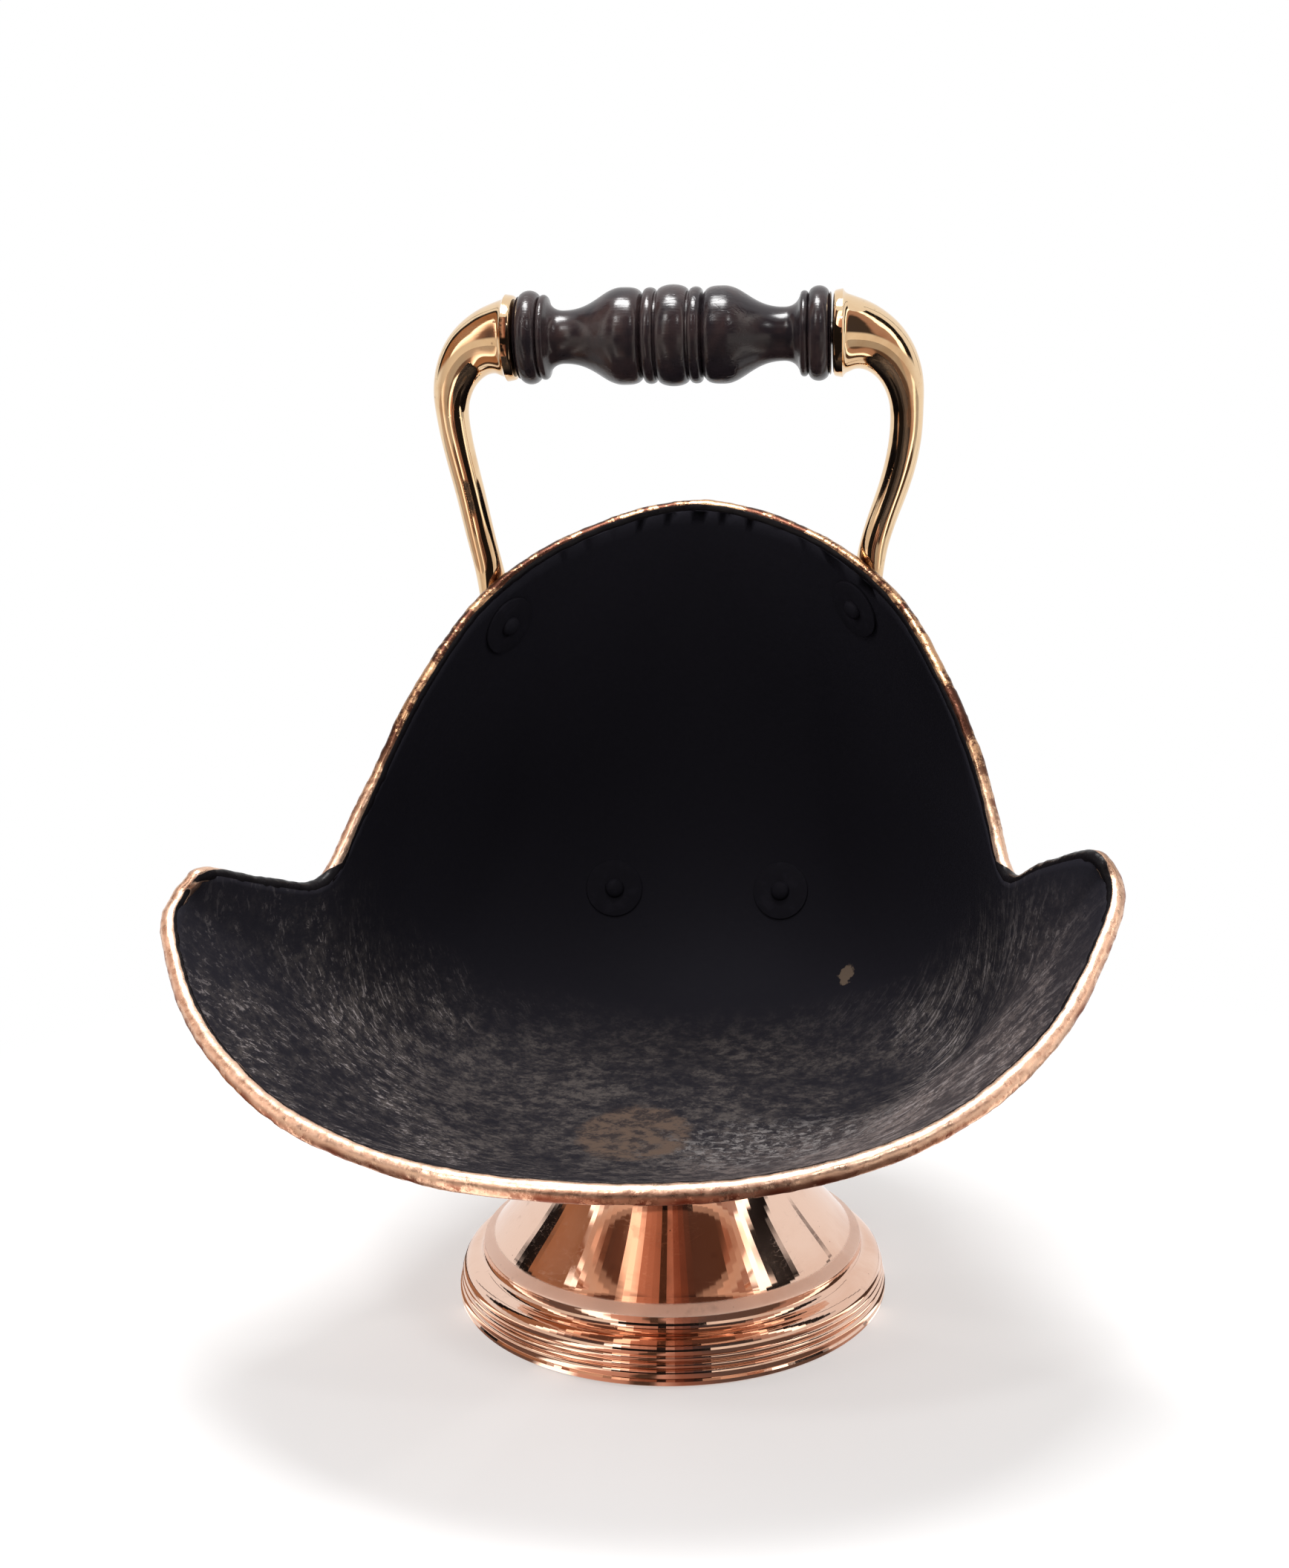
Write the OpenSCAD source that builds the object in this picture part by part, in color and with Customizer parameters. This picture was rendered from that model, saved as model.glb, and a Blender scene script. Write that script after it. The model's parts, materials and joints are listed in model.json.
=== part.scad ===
// Helmet coal scuttle: a bowl raised from copper sheet, its edge rolled over a wire,
// on a spun foot, with an overhead carrying handle and a smaller tipping handle behind.
// Millimetres. The origin is the centre of the foot on the surface it stands on,
// +Z is up, the pouring lip points to -Y and +X is on the right of the lip.

/* [Bowl] */
// Reach of the pouring lip in front of the foot's axis
lip_reach = 170; // [150:1:190]
// Height of the lip's lowest point
lip_height = 112; // [100:1:125]
// Half the width across the two ears
ear_half_width = 151; // [135:1:165]
// Height of the tops of the ears
ear_height = 185; // [175:1:205]
// How far in front of the axis the ears stand
ear_forward = 68; // [60:1:80]
// Half the width across the notches behind the ears
notch_half_width = 120.5; // [108:0.5:130]
// Height of the notches
notch_height = 167; // [155:1:172]
// How far in front of the axis the notches lie
notch_forward = 24; // [18:1:32]
// Height of the hood's crown
crown_height = 288; // [260:1:325]
// How far behind the axis the crown lies
crown_back = 90; // [80:1:100]
// Radius of the flat floor
floor_radius = 46; // [40:1:52]
// Height of the floor's underside
floor_height = 76; // [70:1:82]
// Thickness of the copper sheet
sheet = 1; // [0.8:0.1:1.4]
// Thickness of the wire in the rim
rim_wire_d = 3; // [2.5:0.1:4]

/* [Raised by hand] */
// How much lower the left ear stands than the right
ear_droop = 10.5; // [0:0.5:12]
// How far the mouth swings to the left
mouth_swing = 4; // [0:0.5:6]
// How far the hood leans to the right
hood_lean = 3; // [0:0.5:5]

/* [Foot] */
// Radius of the foot over its widest moulding
foot_radius = 80.5; // [74:0.5:90]
// Radius of the foot's neck under the bowl
neck_radius = 40; // [34:0.5:44]
// Width of the flange soldered to the bowl
flange_width = 5; // [3:0.5:6]
// Thickness of the ring inside the turned-under edge
edge_wire_d = 3; // [2.5:0.1:3.5]

/* [Overhead handle] */
// Length of the overhead grip
top_grip_length = 115; // [100:1:125]
// Thickness of the overhead grip at its beads
top_grip_d = 35; // [30:0.5:40]
// Height of the overhead grip's axis
top_grip_height = 354; // [345:1:375]
// How far behind the foot's axis the overhead grip lies
top_grip_back = 40; // [34:1:46]
// Thickness of the rod through the overhead grip
top_rod_d = 8; // [6:0.5:10]
// Thickness of the overhead arms behind their collars
top_arm_d = 25; // [18:0.5:27]
// Thickness of the overhead arms at the neck of the foot
top_neck_d = 11.2; // [8:0.2:12]
// Distance from the middle to the widest bend of each overhead arm
top_arm_bow = 85; // [80:1:90]
// Radius of the overhead arms' trumpet feet
top_foot_radius = 13.5; // [10:0.5:14]

/* [Tipping handle] */
// Length of the tipping grip
rear_grip_length = 84; // [74:1:90]
// Thickness of the tipping grip at its beads
rear_grip_d = 29; // [25:0.5:32]
// Height of the tipping grip's axis
rear_grip_height = 130; // [122:1:138]
// How far behind the foot's axis the tipping grip lies
rear_grip_back = 176; // [168:1:185]
// Thickness of the rod through the tipping grip
rear_rod_d = 7; // [5:0.5:8]
// Thickness of the tipping arms behind their collars
rear_arm_d = 20; // [15:0.5:22]
// Thickness of the tipping arms at the neck of the foot
rear_neck_d = 9; // [7:0.2:11]
// Distance from the middle to the widest bend of each tipping arm
rear_arm_bow = 60; // [57:1:68]
// Radius of the tipping arms' trumpet feet
rear_foot_radius = 11; // [9:0.5:13]

/* [Fasteners and clearances] */
// Thickness of the screws that hold the arms
screw_d = 4; // [3:0.5:5]
// Depth of a screw's thread in an arm's foot
thread_depth = 5; // [4:0.5:6]
// Depth of a rod's end in an arm's collar
rod_hold = 8; // [5:0.5:9]
// Diameter of the washers under the screw heads
washer_d = 24; // [18:1:26]
// Thickness of the washers
washer_thickness = 1.2; // [1:0.1:2]
// Gap between a grip's end and its collar
end_gap = 0.6; // [0.3:0.1:1]
// Radial gap between a grip's bore and its rod
turning_gap = 0.1; // [0.05:0.01:0.1]
// Gap between faces that are soldered, pressed or screwed together
seat_gap = 0.1; // [0.05:0.05:0.2]

/* [Hidden] */

copper = [0.80, 0.50, 0.38];
iron = [0.30, 0.29, 0.28];
brass = [0.85, 0.62, 0.32];
ebonised = [0.16, 0.13, 0.12];

// Smoothness of the lofted bowl: steps between two guide stations, steps from the
// floor to the rim, and steps round the rolled edge
station_steps = 4;
wall_steps = 13;
roll_steps = 6;
wire_sides = 6;
// What the bowl's flat facets stand proud of its true inner face
facet_sag = 0.3;
// How far the sheet is rolled round its wire, in degrees
roll_angle = 300;
// Sides and steps of the cast arms
arm_sides = 16;
arm_steps = 8;
flare_steps = 4;
bead_steps = 8;
// The cast arms' collars: lip, its rounding and the whole flare; what the lip stays
// inside the grip's bead
lip_width = 3.6;
lip_round = 0.8;
collar_depth = 6.5;
lip_step = 3.5;
// The arms' lines: drop of the bend as a share of the thickness, the handle length
// that rounds it, the waist below it against the neck, the neck's height above the
// bowl against the foot's radius, and how far it leans from the bowl's normal
bend_drop = 1.1;
roundness = 0.55;
waist_share = 1.12;
neck_rise = 1.65;
neck_lean = 0.75;
// The trumpet foot: its edge and how far its flare is hollowed
foot_edge = 1.4;
flare_hollow = 0.5;

// ---- General functions ----

function mix(a, b, f) = a + (b - a) * f;
function unit(v) = v / norm(v);
function flip(p) = [-p[0], p[1], p[2]];
function arc(centre, radius, from, to, steps) =
    [for (i = [0 : steps]) let (a = mix(from, to, i / steps))
        centre + radius * [cos(a), sin(a)]];

// Point of a Bezier curve with any number of handles
function bezier(handles, f) = len(handles) == 1 ? handles[0] :
    bezier([for (i = [0 : len(handles) - 2]) mix(handles[i], handles[i + 1], f)], f);

// A guide is the right half of a curve; past its ends it mirrors itself
function guide_point(guide, i) =
    i < 0 ? flip(guide[-i]) :
    i >= len(guide) ? flip(guide[2 * len(guide) - 2 - i]) : guide[i];

// Smooth step from b to c, a and d being the points before and after them
function blend(a, b, c, d, f) =
    0.5 * (2 * b + (c - a) * f + (2 * a - 5 * b + 4 * c - d) * f * f
           + (3 * b - a - 3 * c + d) * f * f * f);
// Smooth curve through the points of a guide, s counting stations
function along(guide, s) =
    let (i = min(floor(s), len(guide) - 2))
    blend(guide_point(guide, i - 1), guide[i], guide[i + 1], guide_point(guide, i + 2), s - i);

// ---- The bowl's outer face ----

// Each row is a station of the rim: [across, along, up] as shares of the way from the
// ear top to the lip, and then from the notch to the crown
lip_shape = [[0, 1, 0], [0.345, 0.94, 0.03], [0.65, 0.75, 0.16], [0.875, 0.46, 0.42],
             [1, 0.18, 0.78], [1.01, 0.05, 0.94], [0.972, 0, 1.012], [0.88, -0.22, 0.88]];
hood_shape = [[1, 0, 0], [0.928, 0.18, 0.17], [0.805, 0.4, 0.47],
              [0.625, 0.66, 0.742], [0.355, 0.9, 0.914], [0, 1, 1]];
rim_guide = concat(
    [for (p = lip_shape) [p[0] * ear_half_width, -mix(ear_forward, lip_reach, p[1]),
                          mix(lip_height, ear_height, p[2])]],
    [for (p = hood_shape) [p[0] * notch_half_width, mix(-notch_forward, crown_back, p[1]),
                           mix(notch_height, crown_height, p[2])]]);

// How the wall arrives at each station of the rim: the way from the rim down to the
// handle that pulls the wall full
wall_pull = [[0, 38, -14], [-8, 36, -15], [-19, 30, -20], [-26, 24, -27],
             [-30, 20, -38], [-28, 16, -49], [-19, 21, -54], [-12, 13, -49],
             [-2, 7, -41], [6, 12, -55], [17, 27, -73],
             [24, 44, -86], [16, 52, -97], [0, 52, -100]];

// Where each station's wall leaves the round floor, in degrees from the lip
floor_angles = [0, 17, 33, 47, 58, 66, 73, 81, 91, 103, 118, 136, 157, 180];
// How far the wall leaves the floor level, in front and behind
heel_front = 52;
heel_back = 88;
rim_stations = len(rim_guide) - 1;

function floor_angle(s) =
    let (g = floor_angles, i = min(floor(s), rim_stations - 1),
         before = i == 0 ? -g[1] : g[i - 1],
         after = i == rim_stations - 1 ? 360 - g[i] : g[i + 2])
    blend(before, g[i], g[i + 1], after, s - i);
function outward(angle) = [sin(angle), -cos(angle), 0];
function heel(angle) = mix(heel_front, heel_back, (1 - cos(angle)) / 2);
function wall_handles(s) =
    let (angle = floor_angle(s), edge = floor_radius * outward(angle) + [0, 0, floor_height],
         rim = along(rim_guide, s))
    [edge, edge + heel(angle) * outward(angle), rim + along(wall_pull, s), rim];

// Point of the outer face at station s, f running from the floor's edge to the rim
function wall(s, f) = bezier(wall_handles(s), f);

// Its two tangents and its outward normal
tangent_step = 0.01;
function wall_along(s, f) =
    (s < tangent_step ? wall(s + tangent_step, f) - flip(wall(tangent_step - s, f)) :
     s > rim_stations - tangent_step ?
        flip(wall(2 * rim_stations - s - tangent_step, f)) - wall(s - tangent_step, f) :
     wall(s + tangent_step, f) - wall(s - tangent_step, f)) / (2 * tangent_step);
function wall_up(s, f) =
    let (h = wall_handles(s)) 3 * bezier([h[1] - h[0], h[2] - h[1], h[3] - h[2]], f);
function wall_normal(s, f) = unit(cross(wall_along(s, f), wall_up(s, f)));

// The rolled edge: centre of the wire and a point on a circle round it, the angle
// counted from the wall over the top
roll_inner = rim_wire_d / 2 / cos(180 / wire_sides) + seat_gap;
roll_outer = roll_inner + sheet;
function edge_up(s) = unit(cross(wall_normal(s, 1), wall_along(s, 1)));
function wire_centre(s) = wall(s, 1) + roll_inner * wall_normal(s, 1);
function round_wire(s, radius, angle) =
    wire_centre(s) + radius * (sin(angle) * edge_up(s) - cos(angle) * wall_normal(s, 1));

// ---- Raised by hand ----

// Smooth ramp from 0 where v is a to 1 where it is b
function ramp(a, b, v) = let (f = min(max((v - a) / (b - a), 0), 1)) f * f * (3 - 2 * f);
// The hood leans from above the notches up to its crown, and the arms come back from it
lean_starts = [165, 205];
lean_ends = [290, 333];
function lean(p) = hood_lean * ramp(lean_starts[0], lean_starts[1], p[2])
    * ramp(lean_ends[1], lean_ends[0], p[2]);
// The mouth swings in front of the notches, and the left ear droops beside it
function swing(p) = mouth_swing * ramp(-15, -60, p[1]) * ramp(floor_height, lip_height, p[2]);
function droop(p) = ear_droop * ramp(10, -50, p[1]) * ramp(0, -100, p[0])
    * ramp(lip_height, ear_height, p[2]);
function by_hand(p) = p + [lean(p) - swing(p), 0, -droop(p)];
// The same for a piece drawn on the right and mirrored to its side
function hand(p, side) = side < 0 ? flip(by_hand(flip(p))) : by_hand(p);

// ---- Closed skins made of rings of points ----

// Faces between rings laid head to tail; each ring is a closed loop
function tube_faces(rings, sides, closed = false) =
    [for (i = [0 : rings - (closed ? 1 : 2)], j = [0 : sides - 1], half = [0, 1])
        let (a = i * sides + j, b = i * sides + (j + 1) % sides,
             c = ((i + 1) % rings) * sides + (j + 1) % sides, d = ((i + 1) % rings) * sides + j)
        half == 0 ? [a, b, c] : [a, c, d]];
// Fans that close a tube on a point at its start and one at its end
function cap_faces(rings, sides) =
    let (start = rings * sides, last = (rings - 1) * sides)
    [for (j = [0 : sides - 1], end = [0, 1])
        end == 0 ? [start, (j + 1) % sides, j] :
                   [start + 1, last + j, last + (j + 1) % sides]];

module tube(rings, start, end) {
    sides = len(rings[0]);
    polyhedron(points = concat([for (ring = rings, p = ring) p], [start, end]),
               faces = concat(tube_faces(len(rings), sides), cap_faces(len(rings), sides)),
               convexity = 6);
}

// ---- Bowl, wire ----

// Section of the sheet at station s: up the inside, over the wire and down the outside
function sheet_section(s) = concat(
    [for (i = [0 : wall_steps]) let (f = i / wall_steps)
        wall(s, f) - sheet * wall_normal(s, f)],
    [for (i = [1 : roll_steps]) round_wire(s, roll_outer, roll_angle * i / roll_steps)],
    [for (i = [roll_steps : -1 : 1]) round_wire(s, roll_inner, roll_angle * i / roll_steps)],
    [for (i = [wall_steps : -1 : 0]) wall(s, i / wall_steps)]);

half_steps = rim_stations * station_steps;
// All the way round: the right half and its mirror image back to the lip, as raised
function all_round(right) = [for (row = concat(right,
    [for (i = [half_steps - 1 : -1 : 1]) [for (p = right[i]) flip(p)]])) [for (p = row) by_hand(p)]];

module body_shell() {
    sections = all_round([for (i = [0 : half_steps]) sheet_section(i / station_steps)]);
    around = len(sections);
    // The sections become rings that run round the bowl, from the floor inside to the
    // floor outside
    rings = [for (k = [0 : len(sections[0]) - 1]) [for (i = [0 : around - 1]) sections[i][k]]];
    color(copper)
    difference() {
        tube(rings, [0, 0, floor_height + sheet], [0, 0, floor_height]);
        for (seats = [top_seats, rear_seats], side = [1, -1])
            on_seat(of_pair(seats, side), side)
            cylinder(h = 6 * sheet, d = screw_d + 4 * seat_gap, center = true, $fn = 32);
    }
}

module rim_wire() {
    rings = all_round([for (i = [0 : half_steps]) [for (j = [0 : wire_sides - 1])
        round_wire(i / station_steps, rim_wire_d / 2, 360 * j / wire_sides)]]);
    color(iron)
    polyhedron(points = [for (ring = rings, p = ring) p],
               faces = tube_faces(len(rings), wire_sides, closed = true), convexity = 6);
}

// ---- Foot ----

// The mouldings from the ground up, as heights: the turned edge, a flat band, fine
// reeds, a round shoulder, a hollow and a ledge
edge_round = 3;
band_low = 3.3;
band_high = 6.8;
reed_count = 3;
reed_pitch = 1.7;
reeds_high = band_high + reed_count * reed_pitch;
shoulder_high = 16.6;
ledge_low = 21.9;
ledge_high = 24.6;
// How far each lies inside the widest moulding
reed_step = 1.4;
shoulder_step = 6.5;
hollow_step = 9.5;
ledge_step = 13.5;
// Width of the turned-under hem, and the top of the flange under the bowl
hem_width = 6;
foot_top = floor_height - seat_gap;
// Heights of the two handles that bend the cone up into the neck
cone_low = 16;
cone_high = 26;
neck_length = 4;

// Outer outline from the ground to the flange, with every moulding
function foot_outside() = let (r = foot_radius, n = neck_radius) concat(
    arc([r - edge_round, edge_round], edge_round, -90, -8, 5),
    arc([r - 2.6, (band_low + band_high) / 2], 2.6, -34, 34, 4),
    [for (k = [0 : reed_count - 1], p = arc([r - reed_step - 0.35 * k,
        band_high + (k + 0.5) * reed_pitch], 0.8, -60, 60, 3)) p],
    [for (i = [0 : 6]) bezier([[r - 1.6, reeds_high + 0.2], [r - 2.2, shoulder_high - 1.2],
        [r - shoulder_step, shoulder_high]], i / 6)],
    [for (i = [1 : 5]) bezier([[r - shoulder_step, shoulder_high],
        [r - hollow_step + 0.2, shoulder_high + 0.6], [r - hollow_step, ledge_low]], i / 5)],
    [for (i = [0 : 12]) bezier([[r - ledge_step, ledge_high], [n + 14, ledge_high + cone_low],
        [n, foot_top - cone_high], [n, foot_top - neck_length]], i / 12)],
    [for (i = [1 : 3]) bezier([[n, foot_top - neck_length], [n, foot_top - sheet],
        [n + flange_width, foot_top - sheet]], i / 3)]);

// Inner outline from the flange back to the ground: the spun sheet smooths over the
// small mouldings
function foot_inside() = let (r = foot_radius - sheet, n = neck_radius - sheet) concat(
    [[n + sheet + flange_width, foot_top], [n + 1.6, foot_top]],
    [for (i = [12 : -1 : 0]) bezier([[r - ledge_step + 0.2, ledge_high - sheet],
        [n + 14, ledge_high - sheet + cone_low], [n, foot_top - cone_high],
        [n, foot_top - neck_length + 1]], i / 12)],
    [[r - hollow_step - 0.4, ledge_low - 0.6], [r - hollow_step + 0.4, shoulder_high + 1.8],
     [r - shoulder_step + 0.4, shoulder_high - sheet],
     [r - 3.2, shoulder_high - 3.6], [r - 2.2, reeds_high - 1], [r - reed_step, band_high],
     [r - 0.6, band_low + 1], [r - reed_step, band_low - 1.2],
     [r + sheet - edge_round, sheet],
     [r + sheet - edge_round - hem_width, sheet], [r + sheet - edge_round - hem_width, 0]]);

module foot() {
    color(copper)
    rotate_extrude($fn = 96)
    polygon(concat(foot_outside(), foot_inside()));
}

// The ring lies in the corner between the wall and the turned-under hem
module foot_edge_wire() {
    color(iron)
    rotate_extrude($fn = 96)
    translate([foot_radius - reed_step - sheet - seat_gap - edge_wire_d,
               sheet + seat_gap + edge_wire_d / 2])
    circle(d = edge_wire_d, $fn = 24);
}

// ---- Where the arms are screwed to the bowl ----

// Each seat, left and then right: station and height share of its middle on the
// bowl's outer face, and the radius of the arm's trumpet foot. The overhead arms stand
// plumb on the leaning hood, so their seats lie at different stations
plumb_station = 11.33;
plumb_shift = 0.14;
top_seats = [for (side = [-1, 1]) [plumb_station + side * plumb_shift, 0.94, top_foot_radius]];
rear_seats = [for (side = [-1, 1]) [12.25, 0.43, rear_foot_radius]];
// The left or the right one of a pair
function of_pair(pair, side) = pair[side < 0 ? 0 : 1];

function seat_point(seat) = wall(seat[0], seat[1]);
function seat_normal(seat) = wall_normal(seat[0], seat[1]);

// The change of station and height share that moves a point of the seat by v
function seat_move(seat, v) =
    let (a = wall_along(seat[0], seat[1]), b = wall_up(seat[0], seat[1]),
         determinant = (a * a) * (b * b) - (a * b) * (a * b))
    [((v * a) * (b * b) - (v * b) * (a * b)) / determinant,
     ((v * b) * (a * a) - (v * a) * (a * b)) / determinant];
// Where the outer face lies off the seat's middle by v, found in three strides
function seat_place(seat, v, q = undef, strides = 3) =
    let (here = is_undef(q) ? [seat[0], seat[1]] : q,
         missing = v - (wall(here[0], here[1]) - seat_point(seat)))
    strides == 0 ? here : seat_place(seat, v, here + seat_move(seat, missing), strides - 1);
// The place a distance from the seat's middle, in a direction round it
function round_seat(seat, radius, angle) =
    let (across = unit(wall_along(seat[0], seat[1])), up = cross(seat_normal(seat), across))
    seat_place(seat, radius * (cos(angle) * across + sin(angle) * up));
function above_seat(seat, radius, angle, height) =
    let (q = round_seat(seat, radius, angle))
    wall(q[0], q[1]) + height * wall_normal(q[0], q[1]);

// Puts its children on a seat with +Z along the outward normal, on the right or left
module on_seat(seat, side) {
    n = seat_normal(seat);
    mirror([side < 0 ? 1 : 0, 0, 0])
    translate(hand(seat_point(seat), side))
    rotate([0, acos(n[2]), atan2(n[1], n[0])])
    children();
}

// ---- Cast arms ----

// Each arm, left and then right: its seat, the middle of its collar's face, its thickness behind the
// collar and over the neck of its foot, its bow, the collar's lip and its rod
top_arms = [for (seat = top_seats)
    [seat, [top_grip_length / 2 + end_gap, top_grip_back, top_grip_height],
     top_arm_d, top_neck_d, top_arm_bow, top_grip_d - lip_step, top_rod_d]];
rear_arms = [for (seat = rear_seats)
    [seat, [rear_grip_length / 2 + end_gap, rear_grip_back, rear_grip_height],
     rear_arm_d, rear_neck_d, rear_arm_bow, rear_grip_d - lip_step, rear_rod_d]];

function homeward(arm) =
    let (way = seat_point(arm[0]) - arm[1]) unit([0, way[1], way[2]]);
function neck_way(arm) = unit(mix(seat_normal(arm[0]), -homeward(arm), neck_lean));
function neck(arm) = seat_point(arm[0]) + neck_rise * arm[0][2] * neck_way(arm);
function bend_start(arm) = arm[1] + [collar_depth, 0, 0];
function bend_out(arm) = arm[4] - bend_start(arm)[0];
function bend_end(arm) =
    bend_start(arm) + [bend_out(arm), 0, 0] + bend_drop * arm[2] * homeward(arm);
// The bend beside the collar and the long sweep from it to the neck of the foot
function bend(arm) = let (a = bend_start(arm), b = bend_end(arm))
    [a, a + [roundness * bend_out(arm), 0, 0],
     b - roundness * bend_drop * arm[2] * homeward(arm), b];
function sweep(arm) = let (b = bend_end(arm), c = neck(arm), reach = norm(c - b) / 3)
    [b, b + reach * homeward(arm), c + reach * neck_way(arm), c];
function slope(h, f) = unit(bezier([h[1] - h[0], h[2] - h[1], h[3] - h[2]], f));

// Direction from an arm's centre line to side j of its skin, where it runs along way
function spoke(arm, way, j) =
    let (across = unit(cross(cross([1, 0, 0], homeward(arm)), way)), a = 360 * j / arm_sides)
    cos(a) * across - sin(a) * cross(way, across);
function ring(arm, middle, way, radius) =
    [for (j = [0 : arm_sides - 1]) middle + radius * spoke(arm, way, j)];
// The direction in which side j's skin lands on the seat
function landing(arm, j) =
    let (v = spoke(arm, -neck_way(arm), j), n = seat_normal(arm[0]),
         across = unit(wall_along(arm[0][0], arm[0][1])))
    atan2(v * cross(n, across), v * across);

function arm_rings(arm) =
    let (thick = arm[2] / 2, thin = arm[3] / 2, waist = waist_share * arm[3] / 2,
         foot_r = arm[0][2], h = bend(arm), g = sweep(arm))
    concat(
        [for (row = [[0, arm[5] / 2 - lip_round], [lip_round, arm[5] / 2],
                     [lip_width, arm[5] / 2], [lip_width + 0.7, mix(thick, arm[5] / 2, 0.45)],
                     [lip_width + 1.6, mix(thick, arm[5] / 2, 0.12)]])
            ring(arm, arm[1] + [row[0], 0, 0], [1, 0, 0], row[1])],
        [for (i = [0 : arm_steps]) let (f = i / arm_steps)
            ring(arm, bezier(h, f), slope(h, f), mix(thick, waist, f))],
        [for (i = [1 : arm_steps]) let (f = i / arm_steps)
            ring(arm, bezier(g, f), slope(g, f), mix(waist, thin, sin(90 * f)))],
        [for (i = [1 : flare_steps]) [for (j = [0 : arm_sides - 1])
            bezier([neck(arm) + thin * spoke(arm, -neck_way(arm), j),
                    above_seat(arm[0], flare_hollow * foot_r, landing(arm, j), 2 * foot_edge),
                    above_seat(arm[0], foot_r, landing(arm, j), foot_edge)],
                   i / flare_steps)]],
        [for (row = [[1, 0], [0.5, 0]]) [for (j = [0 : arm_sides - 1])
            above_seat(arm[0], row[0] * foot_r, landing(arm, j), seat_gap)]]);

module arm(arms, side) {
    arm = of_pair(arms, side);
    rings = [for (row = arm_rings(arm)) [for (p = row) hand(p, side)]];
    foot_middle = seat_point(arm[0]) + seat_gap * seat_normal(arm[0]);
    color(brass)
    difference() {
        mirror([side < 0 ? 1 : 0, 0, 0])
        tube(rings, arm[1], hand(foot_middle, side));
        // The rod's blind hole in the collar
        mirror([side < 0 ? 1 : 0, 0, 0])
        translate(arm[1] - [1, 0, 0])
        rotate([0, 90, 0])
        cylinder(h = rod_hold + 1 + end_gap, d = arm[6] + 2 * seat_gap, $fn = 48);
        // The screw's hole in the foot
        on_seat(arm[0], side)
        translate([0, 0, -1])
        cylinder(h = 1 + thread_depth + end_gap, d = screw_d + 2 * seat_gap, $fn = 32);
    }
}

module top_arm_left() { arm(top_arms, -1); }
module top_arm_right() { arm(top_arms, 1); }
module rear_arm_left() { arm(rear_arms, -1); }
module rear_arm_right() { arm(rear_arms, 1); }

// ---- Grips and rods ----

// A turned bead between two places along the grip
function bead(from, to, base, crest, start = 0) =
    [for (i = [0 : bead_steps]) let (a = mix(start, 180, i / bead_steps))
        [mix(from, to, (1 - cos(a)) / 2), mix(base, crest, sin(a))]];
// Right half of a grip's outline, drawn for a grip 115 long and 35 thick:
// middle bead, ring, belly, neck, end bead and land
drawn_length = 115;
drawn_d = 35;
grip_half = concat(
    bead(-5.5, 5.5, 16, 18.2, 90),
    bead(6.1, 10.3, 16, 17.2),
    [for (i = [0 : 4]) bezier([[10.9, 14.4], [12.8, 17.4], [15.5, 17.4], [19, 17.4]], i / 4)],
    [for (i = [1 : 9]) bezier([[19, 17.4], [26.5, 17.4], [29.5, 9.6], [40.5, 9.6]], i / 9)],
    [for (i = [1 : 5]) bezier([[40.5, 9.6], [43.6, 9.6], [45.6, 11.4], [46.4, 13.8]], i / 5)],
    bead(46.5, 49.2, 14, 15.2),
    bead(49.4, 56.6, 13.8, 16.8),
    [[57.5, 14.4]]);

module grip(length, d, back, height, rod_d) {
    along_x = length / drawn_length;
    thick = d / drawn_d;
    right = [for (p = grip_half) [p[0] * along_x, p[1] * thick]];
    left = [for (i = [len(right) - 1 : -1 : 1]) [-right[i][0], right[i][1]]];
    bore = rod_d / 2 + turning_gap;
    color(ebonised)
    translate([0, back, height])
    rotate([0, 90, 0])
    rotate_extrude($fn = 72)
    polygon([for (p = concat([[-length / 2, bore]], left, right, [[length / 2, bore]]))
        [p[1], p[0]]]);
}

module rod(arm) {
    length = 2 * (arm[1][0] + rod_hold);
    color(iron)
    translate([0, arm[1][1], arm[1][2]])
    rotate([0, 90, 0])
    cylinder(h = length, d = arm[6], center = true, $fn = 48);
}

module top_grip() { grip(top_grip_length, top_grip_d, top_grip_back, top_grip_height, top_rod_d); }
module rear_grip() {
    grip(rear_grip_length, rear_grip_d, rear_grip_back, rear_grip_height, rear_rod_d);
}
module top_rod() { rod(top_arms[0]); }
module rear_rod() { rod(rear_arms[0]); }

// ---- Screws and washers inside the bowl ----

// How far the bowl's inner face falls below the seat's tangent plane at the
// washer's edge: the washer bears there
function washer_depth(seat) =
    max([for (a = [0 : 30 : 330])
        (seat_point(seat) - above_seat(seat, washer_d / 2, a, -sheet)) * seat_normal(seat)])
    + facet_sag + seat_gap;

module washers(seats) {
    color(iron)
    for (side = [1, -1])
        let (seat = of_pair(seats, side))
        on_seat(seat, side)
        translate([0, 0, -washer_depth(seat) - washer_thickness])
        difference() {
            cylinder(h = washer_thickness, d = washer_d, $fn = 64);
            translate([0, 0, -1])
            cylinder(h = washer_thickness + 2, d = screw_d + 4 * seat_gap, $fn = 32);
        }
}

module screws(seats) {
    color(iron)
    for (side = [1, -1])
        let (seat = of_pair(seats, side),
             head_face = -washer_depth(seat) - washer_thickness - seat_gap)
        on_seat(seat, side) {
            translate([0, 0, head_face])
            cylinder(h = thread_depth - head_face, d = screw_d, $fn = 32);
            // A low domed head
            translate([0, 0, head_face])
            rotate_extrude($fn = 48)
            polygon(concat([[0, 0.01]], [[screw_d, 0.01]],
                [for (i = [0 : 6]) let (a = 90 * i / 6)
                    [screw_d * cos(a), -0.4 - 0.5 * screw_d * sin(a)]]));
        }
}

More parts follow.
